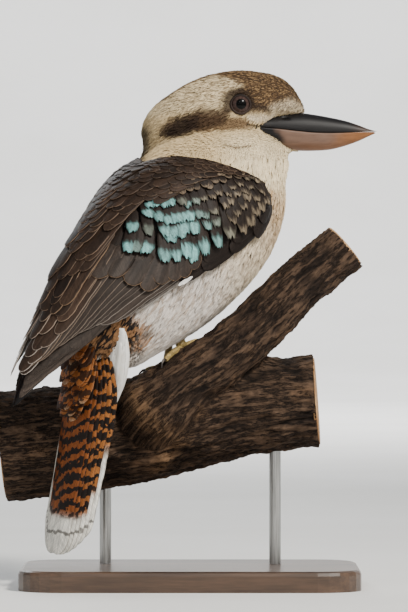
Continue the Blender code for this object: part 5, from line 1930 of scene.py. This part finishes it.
def on_face(points):
    """The head's front, but for the eyes and what the bill covers."""
    forward, _, up = in_head(points)
    bare = (near_eye(points) < 0.0086) | ((forward > 45) & (up < -4)) | (stroke(forward, up, GAPE, 0.6) > 0.3)
    return (points[..., 2] > HEAD_COAT_LEVEL) & (forward > FACE_COAT_START) & ~bare


def on_crown(points):
    """The head behind the face."""
    forward, _, _ = in_head(points)
    return (points[..., 2] > HEAD_COAT_LEVEL) & (forward <= FACE_COAT_START) & ~under_wing(points)


def on_breast(points):
    """The body's front."""
    body = (points[..., 2] <= BODY_COAT_LEVEL) & ~under_wing(points)
    return body & (in_body(points)[0] > BREAST_START)


def on_belly(points):
    """The body's rear."""
    body = (points[..., 2] <= BODY_COAT_LEVEL) & ~under_wing(points)
    return body & (in_body(points)[0] <= BREAST_START)


def near_tuft(points):
    """1 where the body's feathers would lie over the white tuft under the tail."""
    down, _, _ = tail_axes()
    away = points - tuft_root()
    run = away @ down
    aside = np.linalg.norm(away - run[..., None] * down, axis=-1)
    return (1 - ramp(aside, 0.017, 0.025)) * ramp(run, -0.036, -0.028)


def head_length(points):
    """The lengths of the head's small feathers, shortest at the bill and round the eyes."""
    forward, _, _ = in_head(points)
    base = 0.0056 - 0.0026 * ramp(forward, -10, 25)
    near = 1 - 0.45 * (1 - ramp(near_eye(points), 0.009, 0.016))
    return base * near * (1 + 0.5 * ramp(-forward, 35, 55))


def body_length(points):
    """The lengths of the body's small feathers, longer to the rear."""
    rear = ramp(-in_body(points)[0], -0.02, 0.06)
    return (0.0100 + 0.003 * rear) * (1 - 0.8 * near_tuft(points))


# The coats: name, where each grows, its lengths, its map, seed, spacing, width, rise, steepness and yaw
COATS = (
    ("coat_face", on_face, head_length, head_unwrap, 1, 0.00105, 0.00095, 0.0005, 0.06, 0.14),
    ("coat_crown", on_crown, head_length, head_unwrap, 2, 0.00130, 0.00125, 0.0008, 0.06, 0.16),
    ("coat_breast", on_breast, body_length, body_unwrap, 3, 0.00195, 0.0025, 0.0017, 0.0, 0.13),
    ("coat_belly", on_belly, body_length, body_unwrap, 4, 0.00195, 0.0025, 0.0017, 0.0, 0.16),
)


# The whole

def build_body(points, normals, quads):
    """The skin, sunk under the tips of the coat and round the eyes, and the four coats on it."""
    inner = points - normals * coat_depth(points)[:, None]
    sunk = 1 - ramp(near_eye(inner), 0.0075, 0.0100)
    inner = inner - normals * (0.0012 * sunk)[:, None]
    # Painted shade: the skin is painted a little darker than the coat, for the shade in the gaps between the
    # feathers.
    tint = coat_tint(inner, np.full(len(inner), 0.4)) * 0.94
    body = add_piece("skin", inner, [quads], coat_look("skin"), {"tint": tint})
    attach(body, "root")
    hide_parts("torso", "neck", "head")
    skin, look = Skin(inner, normals, quads), coat_look("coat")
    for name, *settings in COATS:
        blade_coat(name, skin, look, *settings)


def dress_plain_nodes():
    """Materials for the nodes that keep the CAD's shape: legs, claws, rods and base."""
    steel = steel_look("steel")
    looks = {"stand_base": wood_look("stand_wood"), "stand_rod_left": steel, "stand_rod_right": steel}
    scales = scaly_look("scales", ("leg", "leg_light"), 700)
    claw = plain_look("claw", ("claw", "claw_light"), 500, 0.4, 0.3)
    looks.update({name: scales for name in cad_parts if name.startswith("leg")})
    looks.update({name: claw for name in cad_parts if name.startswith("claw")})
    for name, look in looks.items():
        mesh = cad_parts[name].data
        mesh.materials.clear()
        mesh.materials.append(look)


def main():
    points, normals, quads = remeshed(*joined(skin_forms()), 0.0017, 8)
    build_body(points, normals, quads)
    vane = vane_look("vane")[0]
    # Painted shade: a near black pad under each wing's feathers.
    pad = plain_look("pad", ("wing_black_and_shade", "back"), 400, 0.8, 0.3)
    build_wing(1, "wing_right", vane, pad)
    build_wing(-1, "wing_left", vane, pad)
    build_tail(tail_look("tail_vane"))
    build_tuft(plain_look("white_feather", ("white", "tail_white"), 500, 0.7, 0.4, (1.0, 1.0, 0.15)))
    horn = tinted_look("horn", 0.46, 0.3, 500, (0.12, 1.0, 1.0), specular=0.22)
    bill_half("bill_upper_horn", True, horn)
    bill_half("bill_lower_horn", False, horn)
    eye = tinted_look("eye", 0.35, 0.0, 900, specular=0.06, coat=0.16, coat_roughness=0.02)
    lid = tinted_look("lid", 0.6, 0.5, 1500, specular=0.2)
    forms = tree_of(points, quads)
    for side in ("right", "left"):
        build_eye(side, eye, forms)
        build_lid(side, lid, forms)
    build_perch(bark_look("bark"), sawn_look("sawn_wood"))
    dress_plain_nodes()
    build_floor(floor_look("floor"))
    build_lights()
    build_camera()


main()
